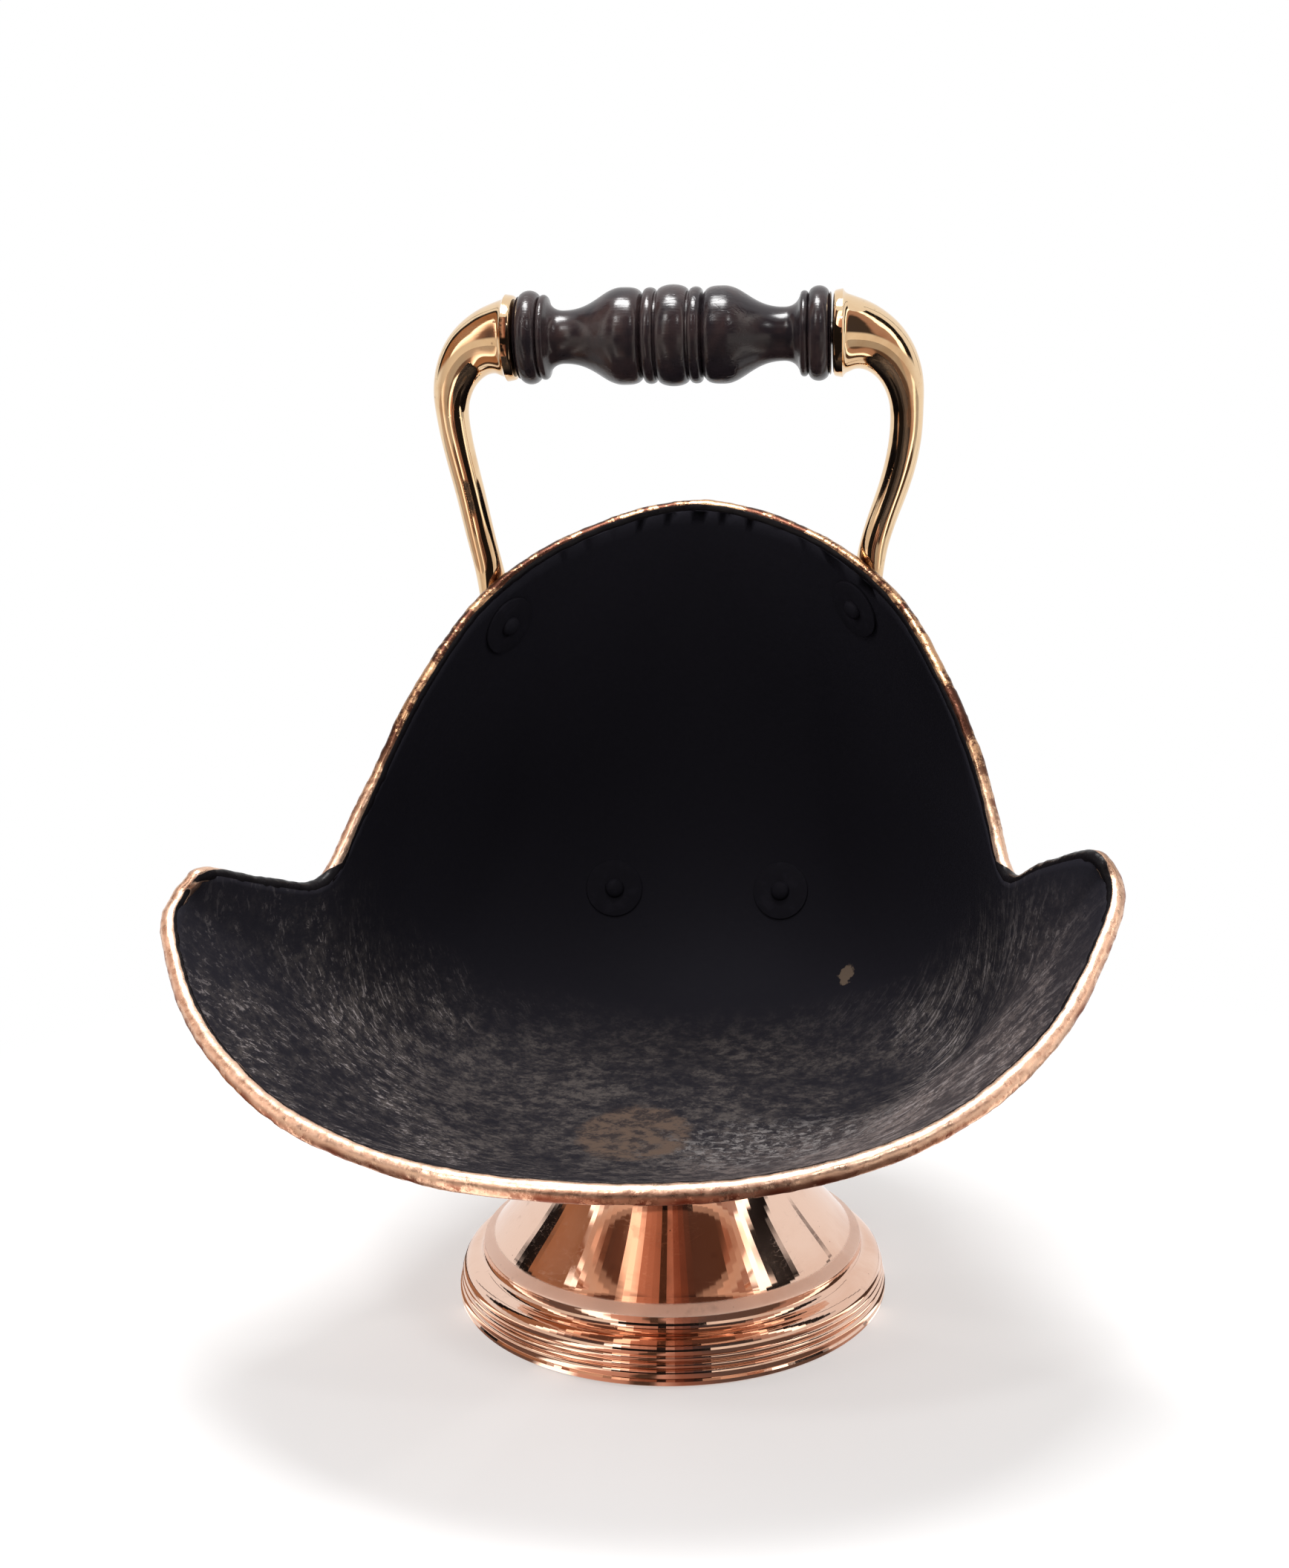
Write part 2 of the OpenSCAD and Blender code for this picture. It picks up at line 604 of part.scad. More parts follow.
module top_foot_washers() { washers(top_seats); }
module top_foot_screws() { screws(top_seats); }
module rear_foot_washers() { washers(rear_seats); }
module rear_foot_screws() { screws(rear_seats); }

// ---- The pieces ----

body_shell();
rim_wire();
foot();
foot_edge_wire();
top_arm_left();
top_arm_right();
top_grip();
top_rod();
top_foot_washers();
top_foot_screws();
rear_arm_left();
rear_arm_right();
rear_grip();
rear_rod();
rear_foot_washers();
rear_foot_screws();
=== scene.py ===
# %% [markdown]
# # A helmet coal scuttle
# The object is a bowl raised from copper sheet, with its edge rolled over a wire, on a
# spun foot. Two cast brass arms carry a turned, ebonised grip over the mouth, and a
# smaller handle of the same kind sits behind for tipping.
#
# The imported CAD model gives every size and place. This lesson adds what a drawing
# leaves out: polished and worn copper, sooty black inside, cast brass and waxed wood.

# %% Load the frame
import json
import math
from collections import Counter, defaultdict

import bmesh
import bpy
from mathutils import Matrix, Vector, kdtree

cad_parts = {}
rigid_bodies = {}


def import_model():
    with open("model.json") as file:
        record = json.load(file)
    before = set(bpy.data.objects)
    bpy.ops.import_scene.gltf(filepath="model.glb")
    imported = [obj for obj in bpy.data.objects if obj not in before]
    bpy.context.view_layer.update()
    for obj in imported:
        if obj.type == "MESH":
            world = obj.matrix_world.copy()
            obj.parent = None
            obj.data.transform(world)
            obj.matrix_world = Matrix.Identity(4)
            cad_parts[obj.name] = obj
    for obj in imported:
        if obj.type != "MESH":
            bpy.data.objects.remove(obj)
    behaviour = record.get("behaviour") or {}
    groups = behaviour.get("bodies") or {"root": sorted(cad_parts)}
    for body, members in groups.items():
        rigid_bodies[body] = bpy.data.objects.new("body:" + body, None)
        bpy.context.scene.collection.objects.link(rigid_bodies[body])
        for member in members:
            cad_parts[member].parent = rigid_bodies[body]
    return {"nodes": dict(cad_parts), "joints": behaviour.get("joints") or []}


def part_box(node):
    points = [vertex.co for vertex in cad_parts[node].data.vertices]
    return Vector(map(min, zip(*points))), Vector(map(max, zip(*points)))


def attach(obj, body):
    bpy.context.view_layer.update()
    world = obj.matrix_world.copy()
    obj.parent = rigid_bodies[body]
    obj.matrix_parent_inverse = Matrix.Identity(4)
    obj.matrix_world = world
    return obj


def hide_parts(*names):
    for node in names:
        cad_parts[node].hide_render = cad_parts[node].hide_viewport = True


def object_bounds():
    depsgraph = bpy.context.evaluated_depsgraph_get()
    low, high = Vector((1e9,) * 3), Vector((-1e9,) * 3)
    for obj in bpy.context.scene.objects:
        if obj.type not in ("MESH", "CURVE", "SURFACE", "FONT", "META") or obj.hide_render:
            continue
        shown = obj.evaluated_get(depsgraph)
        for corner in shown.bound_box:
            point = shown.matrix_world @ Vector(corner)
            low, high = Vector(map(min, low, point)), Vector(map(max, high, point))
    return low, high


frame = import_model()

cad_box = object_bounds()
MM = 0.001
print("CAD box", [round(v, 4) for corner in cad_box for v in corner])

# %% [markdown]
# ## The camera
# The photograph looks down into the mouth from a little above and a little to the
# right. Its perspective is strong, so the camera stands close: about 70 cm away. The
# camera circles a target on the object's axis, and a small roll stands in for the
# hand that held it.

# %% Place the camera
PHOTO_LONG_SIDE = 2112
FOCAL_PIXELS = 2600
SENSOR = 36.0
TARGET = Vector((0, 0, 0.1947))
DISTANCE = 0.699
AZIMUTH = math.radians(6.5)
PITCH = math.radians(11.5)
ROLL = math.radians(-0.7)
TARGET_PIXELS_RIGHT_OF_MIDDLE = 30

camera_data = bpy.data.cameras.new("camera")
camera_data.sensor_width = SENSOR
camera_data.lens = FOCAL_PIXELS * SENSOR / PHOTO_LONG_SIDE
camera_data.shift_x = -TARGET_PIXELS_RIGHT_OF_MIDDLE / PHOTO_LONG_SIDE
camera = bpy.data.objects.new("camera", camera_data)
bpy.context.scene.collection.objects.link(camera)
backwards = Vector((math.sin(AZIMUTH) * math.cos(PITCH),
                    -math.cos(AZIMUTH) * math.cos(PITCH), math.sin(PITCH)))
camera.location = TARGET + DISTANCE * backwards
camera.rotation_mode = "QUATERNION"
turned = (-backwards).to_track_quat("-Z", "Y").to_matrix() @ Matrix.Rotation(ROLL, 3, "Z")
camera.rotation_quaternion = turned.to_quaternion()
bpy.context.scene.camera = camera
print("lens", round(camera_data.lens, 2), "mm")

# %% [markdown]
# ## Helpers
# A Blender operator acts on everything that is selected, and loading the frame leaves
# all of it selected. So each step first picks just the piece it works on.

# %% Pick pieces and enter edit mode
def pick(*pieces):
    """Back to object mode with only these pieces selected, the first one active."""
    if bpy.context.object and bpy.context.object.mode != "OBJECT":
        bpy.ops.object.mode_set(mode="OBJECT")
    bpy.ops.object.select_all(action="DESELECT")
    for piece in pieces:
        piece.select_set(True)
    bpy.context.view_layer.objects.active = pieces[0] if pieces else None


def edit(piece, mode="VERT"):
    """Edit mode on one piece with nothing selected in it."""
    pick(piece)
    bpy.ops.object.mode_set(mode="EDIT")
    bpy.ops.mesh.select_mode(type=mode)
    bpy.ops.mesh.select_all(action="DESELECT")


def leave_edit():
    bpy.ops.object.mode_set(mode="OBJECT")


def apply_modifier(piece, kind, **settings):
    """Add a modifier, set it and apply it."""
    pick(piece)
    modifier = piece.modifiers.new(kind.lower(), kind)
    for name, value in settings.items():
        setattr(modifier, name, value)
    bpy.ops.object.modifier_apply(modifier=modifier.name)


def shade(piece, sharpest):
    """Smooth shading, but for edges that turn by more than some degrees."""
    pick(piece)
    bpy.ops.object.shade_smooth_by_angle(angle=math.radians(sharpest))


def triangles(piece):
    return sum(len(polygon.vertices) - 2 for polygon in piece.data.polygons)


print("CAD nodes:", sorted(frame["nodes"]))


# %% Select by place
def select_points(piece, wanted):
    """Select the points whose place passes a test, with the edges between them."""
    edit(piece)
    shape = bmesh.from_edit_mesh(piece.data)
    for vertex in shape.verts:
        vertex.select = wanted(vertex.co)
    chosen = sum(vertex.select for vertex in shape.verts)
    shape.select_flush(True)
    bmesh.update_edit_mesh(piece.data)
    return chosen


def select_faces(piece, wanted):
    """Select the faces that pass a test, by their corners' places."""
    edit(piece, "FACE")
    shape = bmesh.from_edit_mesh(piece.data)
    for face in shape.faces:
        face.select = wanted([v.co for v in face.verts])
    chosen = sum(face.select for face in shape.faces)
    bmesh.update_edit_mesh(piece.data)
    return chosen


# %% Read the frame
def joint_place(name):
    """A point on a joint's axis."""
    return Vector(next(joint for joint in frame["joints"] if joint["name"] == name)["pos_m"])


for name in ("top_grip_spin", "rear_grip_spin"):
    print(name, [round(c, 4) for c in joint_place(name)])


# %% Copy a CAD node into a clean mesh
TOUCHING = 0.005 * MM


def copy_of(node, name):
    """A copy of a CAD node's mesh, its loose triangles joined at their corners."""
    mesh = frame["nodes"][node].data.copy()
    mesh.materials.clear()
    piece = bpy.data.objects.new(name, mesh)
    bpy.context.scene.collection.objects.link(piece)
    pick(piece)
    bpy.ops.mesh.customdata_custom_splitnormals_clear()
    edit(piece)
    bpy.ops.mesh.select_all(action="SELECT")
    bpy.ops.mesh.remove_doubles(threshold=TOUCHING)
    leave_edit()
    print(name, len(piece.data.polygons), "triangles from", node)
    return piece


def pair_triangles(piece):
    """Join triangles in pairs, so that Subdivision Surface gets quads."""
    edit(piece, "FACE")
    bpy.ops.mesh.select_all(action="SELECT")
    bpy.ops.mesh.tris_convert_to_quads(face_threshold=math.pi, shape_threshold=math.pi,
                                       topology_influence=2)
    leave_edit()


# %% [markdown]
# ## The raised bowl
# The sheet was raised with a hammer from one disc, so its form has no edge anywhere but
# at the rim. The CAD bowl is a loft of flat facets. Its merged copy, taken through
# Subdivision Surface, becomes the smooth sheet that polish needs. The rolled edge
# comes off the copy and is made anew as a round bead further down.

# %% Lift the wall off the rolled edge
WIRE_REACH = 2.1 * MM


def tree_of(points):
    """A search tree that finds the nearest of these points."""
    tree = kdtree.KDTree(len(points))
    for index, point in enumerate(points):
        tree.insert(point, index)
    tree.balance()
    return tree


rim_wire = frame["nodes"]["rim_wire"].data
wire_corners = {tuple(round(c, 6) for c in v.co) for v in rim_wire.vertices}
wire_points = [Vector(corner) for corner in sorted(wire_corners)]
wire_tree = tree_of(wire_points)


def from_wire(point):
    """Distance from the rim's wire."""
    return wire_tree.find(point)[2]


bowl = copy_of("body_shell", "bowl_sheet")
rolled = select_faces(bowl, lambda corners: all(from_wire(p) < WIRE_REACH for p in corners))
bpy.ops.mesh.delete(type="FACE")
leave_edit()
pair_triangles(bowl)
print("triangles taken off the rolled edge:", rolled)

# %% [markdown]
# Four screws go through the sheet. Their holes lie under washers, where nobody sees
# them, but a small hole pinches Subdivision Surface, so they are closed: the tunnel
# goes, each end is filled, and the new face is joined with those round it.

# %% Find the screw holes under the washers
HOLE_REACH = 2.4 * MM
HOLE_DEPTH = 8 * MM


def discs(node):
    """Middle and axis of each washer in a node, the axis pointing out of the bowl."""
    points = [v.co for v in frame["nodes"][node].data.vertices]
    found = []
    for side in (-1, 1):
        ring = [p for p in points if p.x * side > 0]
        middle = sum(ring, Vector()) / len(ring)
        far = max(ring, key=lambda p: (p - middle).length) - middle
        across = max(ring, key=lambda p: far.cross(p - middle).length) - middle
        axis = far.cross(across).normalized()
        outwards = axis if axis.dot(Vector((middle.x, middle.y, 0))) > 0 else -axis
        found.append((middle, outwards))
    return found


holes = discs("top_foot_washers") + discs("rear_foot_washers")
print("screw holes:", [[round(c, 3) for c in middle] for middle, axis in holes])

# %% Close the screw holes
def depth_in(point, hole):
    """How far out of the bowl a point lies, along a hole's axis."""
    middle, axis = hole
    return (point - middle).dot(axis)


def in_hole(point, hole):
    middle, axis = hole
    depth = depth_in(point, hole)
    return (point - middle - depth * axis).length < HOLE_REACH and abs(depth) < HOLE_DEPTH


def close_end(piece, hole, halfway, inner):
    """Fill a hole's inner or outer end, and join its face with those round it."""
    def at_end(point):
        return in_hole(point, hole) and (depth_in(point, hole) < halfway) == inner

    select_points(piece, at_end)
    bpy.ops.mesh.edge_face_add()
    select_faces(piece, lambda corners: any(at_end(p) for p in corners))
    bpy.ops.mesh.dissolve_faces(use_verts=True)


for hole in holes:
    tunnel = select_faces(bowl, lambda corners: all(in_hole(p, hole) for p in corners))
    bpy.ops.mesh.delete(type="FACE")
    leave_edit()
    depths = [depth_in(v.co, hole) for v in bowl.data.vertices if in_hole(v.co, hole)]
    halfway = (min(depths) + max(depths)) / 2
    for inner in (True, False):
        close_end(bowl, hole, halfway, inner)
    print("tunnel faces closed:", tunnel)

# %% One flat disc for the floor, inside and outside
FLOOR_REACH = 46.2 * MM
FLOOR_SPLIT = 76.5 * MM


def on_floor(corners, upper):
    """Whether a face lies in the flat floor, on its upper or its lower side."""
    return all(p.xy.length < FLOOR_REACH and (p.z > FLOOR_SPLIT) == upper for p in corners)


for upper in (True, False):
    disc = select_faces(bowl, lambda corners: on_floor(corners, upper))
    bpy.ops.mesh.dissolve_faces(use_verts=True)
    print("floor faces joined:", disc)
leave_edit()

# %% [markdown]
# Without its rolled edge the sheet is two shells, its inner and its outer face. The
# inner one is marked, since that is where the black is, and then the two are bridged
# at the rim, which closes the sheet again.

# %% Mark the inside
select_faces(bowl, lambda corners: on_floor(corners, True))
bpy.ops.mesh.select_linked()
leave_edit()
inner_shell = [vertex.select for vertex in bowl.data.vertices]
inside = bowl.data.attributes.new("inside", "FLOAT", "POINT")
for vertex_mark, is_inner in zip(inside.data, inner_shell):
    vertex_mark.value = float(is_inner)
print("inner points:", sum(inner_shell), "of", len(inner_shell))

# %% Walk along both open edges
def open_edge(piece, inner):
    """Points of one shell's open edge, in order from the lip round by +X."""
    uses = Counter(key for face in piece.data.polygons for key in face.edge_keys)
    steps = defaultdict(list)
    for (a, b), faces in uses.items():
        if faces == 1 and inner_shell[a] == inner:
            steps[a].append(b)
            steps[b].append(a)
    points = piece.data.vertices
    start = min(steps, key=lambda i: points[i].co.y)
    walk = [start, max(steps[start], key=lambda i: points[i].co.x)]
    while len(walk) < len(steps):
        walk.append(next(i for i in steps[walk[-1]] if i != walk[-2]))
    return [points[i].co.copy() for i in walk]


outer_edge = open_edge(bowl, False)
inner_edge = open_edge(bowl, True)
print("rim points:", len(outer_edge), "and", len(inner_edge))

# %% Close the rim
edit(bowl, "EDGE")
bpy.ops.mesh.select_non_manifold()
bpy.ops.mesh.bridge_edge_loops()
leave_edit()
print("faces after bridging the rim:", len(bowl.data.polygons))

# %% [markdown]
# Subdivision Surface pulls corners in. At the rim that would open a bright slit beside
# the bead, so the rim's edges are creased first, which keeps them where they are.

# %% Hold the rim and smooth the sheet
RIM_TOUCH = 0.01 * MM
SHEET_LEVELS = 2

rim_tree = tree_of(outer_edge + inner_edge)
held = select_points(bowl, lambda point: rim_tree.find(point)[2] < RIM_TOUCH)
bpy.ops.transform.edge_crease(value=1)
leave_edit()
print("rim points held:", held)
apply_modifier(bowl, "SUBSURF", levels=SHEET_LEVELS, render_levels=SHEET_LEVELS)
bpy.ops.object.shade_smooth()
print("bowl sheet:", triangles(bowl), "triangles")

# %% [markdown]
# Each point of the sheet also gets a vector that follows the metal: its direction
# round the axis, and its distance from the middle of the floor. Coal slides away from
# the floor's middle and back, so its scratches can be drawn along that distance.

# %% Mark the way coal slides
FLOOR_MIDDLE = Vector((0, 0, 77 * MM))


def mark_slide(piece):
    """A vector for each point: direction round the axis, and distance up the wall."""
    slide = piece.data.attributes.new("slide", "FLOAT_VECTOR", "POINT")
    for vertex in piece.data.vertices:
        away = vertex.co - FLOOR_MIDDLE
        flat = max(math.hypot(away.x, away.y), MM)
        slide.data[vertex.index].vector = (away.x / flat, away.y / flat, away.length)


mark_slide(bowl)
print("slide marks on", bowl.name)

# %% [markdown]
# ## The rolled edge
# The rim is the same sheet, rolled outwards over an iron wire. From a hand's distance
# it is a round bead, knocked full of small dents by the hammer that closed it. A curve
# along the wire with a round bevel gives the bead, and a fine noise pushes its surface
# in and out for the dents.

# %% Find the wire's middle and the edge of the black
WIRE_SIDES = 6
LINE_PARTS = 16

wire_line = []
for point in outer_edge:
    section = [co for co, index, gap in wire_tree.find_n(point, WIRE_SIDES)]
    wire_line.append(sum(section, Vector()) / len(section))
edge_line = []
for here, there in zip(inner_edge, inner_edge[1:] + inner_edge[:1]):
    edge_line += [here.lerp(there, part / LINE_PARTS) for part in range(LINE_PARTS)]
station_tree, edge_tree = tree_of(wire_line), tree_of(edge_line)
black_points = [edge_tree.find(point)[0] for point in outer_edge]
bead_radius = sum((a - b).length for a, b in zip(wire_line, black_points)) / len(wire_line)
print("bead radius", round(bead_radius / MM, 2), "mm")

# %% Draw the bead along the wire
BEZIER_CIRCLE_POINTS = 4
BEAD_RINGS_PER_POINT = 9
BEAD_ROUNDNESS = 6
LIP_SWELL = 1.16
LIP_TO_EARS = (-0.13, -0.05)


def share(value, start, end):
    """How far a value has come from start to end, kept between 0 and 1."""
    return min(max((value - start) / (end - start), 0.0), 1.0)


def mixed(a, b, part):
    return a + (b - a) * part


pick()
bpy.ops.curve.primitive_bezier_circle_add(radius=0.1)
bead = bpy.context.object
bead.name = "rolled_rim"
bpy.ops.object.mode_set(mode="EDIT")
bpy.ops.curve.subdivide(number_cuts=len(wire_line) // BEZIER_CIRCLE_POINTS - 1)
bpy.ops.object.mode_set(mode="OBJECT")
line = bead.data.splines[0]
for place, point in zip(line.bezier_points, wire_line):
    place.handle_left_type = place.handle_right_type = "AUTO"
    place.co = point
    place.radius = mixed(LIP_SWELL, 1.0, share(point.y, *LIP_TO_EARS))
line.resolution_u = BEAD_RINGS_PER_POINT
bead.data.bevel_depth = bead_radius
bead.data.bevel_resolution = BEAD_ROUNDNESS
bead.data.use_fill_caps = False
pick(bead)
bpy.ops.object.convert(target="MESH")
bead = bpy.context.object
edit(bead)
bpy.ops.mesh.select_all(action="SELECT")
bpy.ops.mesh.remove_doubles(threshold=RIM_TOUCH)
bpy.ops.mesh.normals_make_consistent(inside=False)
leave_edit()
print("bead:", triangles(bead), "triangles")

# %% Knock dents into the bead
def dent(piece, name, size, depth):
    """Push a mesh in and out along its normals by a cloudy texture."""
    texture = bpy.data.textures.new(name, type="CLOUDS")
    texture.noise_scale = size
    texture.noise_depth = 1
    apply_modifier(piece, "DISPLACE", texture=texture, texture_coords="LOCAL",
                   strength=depth, mid_level=0.5)
    print(name, round(depth / MM, 2), "mm deep")


dent(bead, "small_dents", 3.6 * MM, 0.55 * MM)
dent(bead, "long_waves", 15 * MM, 0.6 * MM)
pick(bead)
bpy.ops.object.shade_smooth()

# %% [markdown]
# The black was brushed on after the edge was rolled, so it runs onto the bead: a
# little at the lip, more along the hood, and right over the ears' tops. Two marks on
# the bead's points keep how far each is past the black, and whether it faces outwards.

# %% Mark where the black ends on the bead
LIP_BLACK = 1.1
HOOD_BLACK = 2.6
EAR_BLACK = 7.0
HOOD_START = (0.17, 0.20)
EAR_FRONT = (-0.075, -0.060)
EAR_BACK = (-0.018, -0.026)
EAR_FLANK = (0.150, 0.140)


def black_reach(place):
    """How far the black runs onto the bead, in mm: over the ears' tops it covers it."""
    reach = mixed(LIP_BLACK, HOOD_BLACK, share(place.z, *HOOD_START))
    on_ear = share(place.y, *EAR_FRONT) * share(place.y, *EAR_BACK)
    on_ear *= share(abs(place.x), *EAR_FLANK)
    return mixed(reach, EAR_BLACK, on_ear)


from_black = bead.data.attributes.new("from_black", "FLOAT", "POINT")
outer_side = bead.data.attributes.new("outer_side", "FLOAT", "POINT")
for vertex in bead.data.vertices:
    gap = edge_tree.find(vertex.co)[2] / MM
    from_black.data[vertex.index].value = gap - black_reach(vertex.co)
    middle, station, _ = station_tree.find(vertex.co)
    outwards = (outer_edge[station] - black_points[station]).normalized()
    outer_side.data[vertex.index].value = (vertex.co - middle).normalized().dot(outwards)
print("marked", len(bead.data.vertices), "points of the bead")

# %% [markdown]
# ## The spun foot
# A foot like this is spun on a lathe over a wooden former, so one outline turned about
# the axis makes it. The outline is drawn point by point, as a chain of extruded edges,
# and Spin turns it. Its sizes come from the CAD foot.

# %% Draw an outline and turn it
def draw_outline(name, points):
    """A closed chain of edges: one point, extruded again and again."""
    pick()
    bpy.ops.mesh.primitive_plane_add(size=MM, location=points[0])
    piece = bpy.context.object
    piece.name = name
    bpy.ops.object.transform_apply(location=True, rotation=True, scale=True)
    edit(piece)
    bpy.ops.mesh.select_all(action="SELECT")
    bpy.ops.mesh.merge(type="CENTER")
    for before, after in zip(points, points[1:]):
        bpy.ops.mesh.extrude_vertices_move(
            TRANSFORM_OT_translate={"value": Vector(after) - Vector(before)})
    bpy.ops.mesh.select_all(action="SELECT")
    shape = bmesh.from_edit_mesh(piece.data)
    for vertex in shape.verts:
        vertex.select = len(vertex.link_edges) < 2
    shape.select_flush(True)
    bmesh.update_edit_mesh(piece.data)
    bpy.ops.mesh.edge_face_add()
    leave_edit()
    return piece


def turn_on_lathe(piece, centre, axis, steps):
    """Spin a closed outline through a full turn and close the seam."""
    edit(piece)
    bpy.ops.mesh.select_all(action="SELECT")
    bpy.ops.mesh.spin(steps=steps, angle=math.tau, center=centre, axis=axis)
    bpy.ops.mesh.select_all(action="SELECT")
    bpy.ops.mesh.remove_doubles(threshold=TOUCHING)
    bpy.ops.mesh.normals_make_consistent(inside=False)
    leave_edit()


# %% Curves for outlines
def arc(middle, radius, start, end, steps):
    """Points of a circle's arc, angles in degrees."""
    turns = [math.radians(start + (end - start) * i / steps) for i in range(steps + 1)]
    return [(middle[0] + radius * math.cos(a), middle[1] + radius * math.sin(a)) for a in turns]


def bend(handles, steps, first=0):
    """Points of a Bezier curve through its first and last handle."""
    found = []
    for step in range(first, steps + 1):
        row = [Vector(handle) for handle in handles]
        while len(row) > 1:
            row = [a.lerp(b, step / steps) for a, b in zip(row, row[1:])]
        found.append(tuple(row[0]))
    return found


def bead_outline(start, end, base, crest, steps, first=0):
    """A turned bead: half a circle, squeezed to its width and height."""
    found = []
    for step in range(steps + 1):
        a = math.radians(first + (180 - first) * step / steps)
        found.append((start + (end - start) * (1 - math.cos(a)) / 2,
                      base + (crest - base) * math.sin(a)))
    return found


# %% [markdown]
# A turned moulding is a chain of simple curves: arcs for the edge, the band and the
# reeds, and Bezier curves for the shoulder, the hollow and the neck. Each takes a line
# or two, so the outline reads from the ground up, as the spinner's former was cut.

# %% The foot's outline, from the ground to the flange and back down inside
foot_low, foot_high = (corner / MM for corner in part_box("foot"))
radius, top = foot_high.x, foot_high.z
NECK = 40
FLANGE = 5
EDGE_ROUND = 3
BAND = (3.3, 6.8)
REEDS = 2
REED_PITCH = 2.5
SHOULDER = 16.6
LEDGE = (21.9, 24.6)
HEM = 6
FOOT_STEPS = 160

reeds_top = BAND[1] + REEDS * REED_PITCH
# The turned-under edge on the ground, the band over it, and the reeds
outline = arc((radius - EDGE_ROUND, EDGE_ROUND), EDGE_ROUND, -90, -4, 8)
outline += arc((radius - 2.6, sum(BAND) / 2), 2.6, -40, 40, 8)
for reed in range(REEDS):
    outline += arc((radius - 1.9 - 0.4 * reed, BAND[1] + (reed + 0.5) * REED_PITCH),
                   1.25, -64, 64, 8)
# The rounded shoulder, the hollow above it, and the flat ledge
outline += bend([(radius - 1.7, reeds_top + 0.2), (radius - 1.6, SHOULDER - 2.4),
                 (radius - 3.6, SHOULDER - 0.2), (radius - 6.5, SHOULDER)], 12)
outline += bend([(radius - 6.5, SHOULDER), (radius - 9.2, SHOULDER + 0.3),
                 (radius - 10.0, LEDGE[0] - 2.2), (radius - 9.5, LEDGE[0])], 10, 1)
outline += bend([(radius - 9.6, LEDGE[0] + 0.3), (radius - 10.2, LEDGE[0] + 0.9),
                 (radius - 13.2, LEDGE[1])], 5)
# The neck, and the flange that is soldered to the bowl
outline += bend([(radius - 13.5, LEDGE[1] + 0.2), (NECK + 14, LEDGE[1] + 16),
                 (NECK, top - 26), (NECK, top - 4)], 26)
outline += bend([(NECK, top - 4), (NECK, top - 1), (NECK + FLANGE, top - 1)], 6, 1)
# Back down inside, one sheet's thickness in, to the hem under the edge
inner = [(NECK + FLANGE, top), (NECK + 0.6, top)]
inner += bend([(NECK - 1, top - 3), (NECK - 1, top - 26), (NECK + 13, LEDGE[1] + 15),
               (radius - 14.3, LEDGE[1] - 1)], 20)
inner += [(radius - 10.9, LEDGE[0] - 0.6), (radius - 11, SHOULDER + 3),
          (radius - 9.6, SHOULDER), (radius - 7.1, SHOULDER - 1),
          (radius - 4.2, SHOULDER - 2.6), (radius - 3.2, reeds_top), (radius - 2.8, BAND[1]),
          (radius - 1.6, BAND[0] + 1), (radius - 2.4, 2), (radius - EDGE_ROUND, 1),
          (radius - EDGE_ROUND - HEM, 1), (radius - EDGE_ROUND - HEM, 0)]
foot = draw_outline("spun_foot", [(r * MM, 0, z * MM) for r, z in outline + inner])
turn_on_lathe(foot, (0, 0, 0), (0, 0, 1), FOOT_STEPS)
shade(foot, 42)
print("foot:", len(outline + inner), "points,", triangles(foot), "triangles")

# %% [markdown]
# ## The turned grips
# Both grips come from one pattern on the lathe: a bead in the middle between two
# rings, a belly and a slim neck on each side, and a bead at each end. The right half
# is drawn and mirrored in the numbers, and the whole outline is spun about the rod.

# %% One pattern for both grips
DRAWN_LENGTH = 115
DRAWN_RADIUS = 18.2
GRIP_STEPS = 96


def half_grip():
    """The right half of the outline, from the middle bead's crest to the end."""
    # The middle bead and the ring beside it
    points = bead_outline(-5.6, 5.6, 15.8, DRAWN_RADIUS, 12, first=90)
    points += bead_outline(6.2, 10.6, 15.9, 17.3, 10)
    # The belly, falling away to the slim neck and rising again
    points += bend([(11.2, 14.6), (12.4, 17.5), (15, 17.5), (18.5, 17.5)], 8)
    points += bend([(18.5, 17.5), (26, 17.5), (29, 9.6), (40.5, 9.6)], 22, 1)
    points += bend([(40.5, 9.6), (43.6, 9.6), (45.6, 11.2), (46.3, 13.9)], 10, 1)
    # A fine ring, the end bead and the face at the collar
    points += bead_outline(46.4, 49.2, 14.1, 15.3, 7)
    points += bead_outline(49.3, 56.8, 13.9, 16.9, 13)
    points += [(57.2, 14.8), (57.5, 14.3)]
    return points


def turned_grip(name, node, joint):
    """A grip on a joint's axis, with the CAD grip's length and thickness."""
    low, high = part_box(node)
    long = (high.x - low.x) / (DRAWN_LENGTH * MM)
    thick = (high.z - low.z) / (2 * DRAWN_RADIUS * MM)
    middle = joint_place(joint)
    bore = min((v.co - middle).yz.length for v in frame["nodes"][node].data.vertices)
    right = [(x * long * MM, r * thick * MM) for x, r in half_grip()]
    left = [(-x, r) for x, r in reversed(right[1:])]
    around = [(low.x, bore)] + left + right + [(high.x, bore)]
    piece = draw_outline(name, [(x, middle.y, middle.z + r) for x, r in around])
    turn_on_lathe(piece, middle, (1, 0, 0), GRIP_STEPS)
    shade(piece, 40)
    print(name, triangles(piece), "triangles, bore radius", round(bore / MM, 2), "mm")
    return piece


top_grip = turned_grip("overhead_grip", "top_grip", "top_grip_spin")
rear_grip = turned_grip("tipping_grip", "rear_grip", "rear_grip_spin")

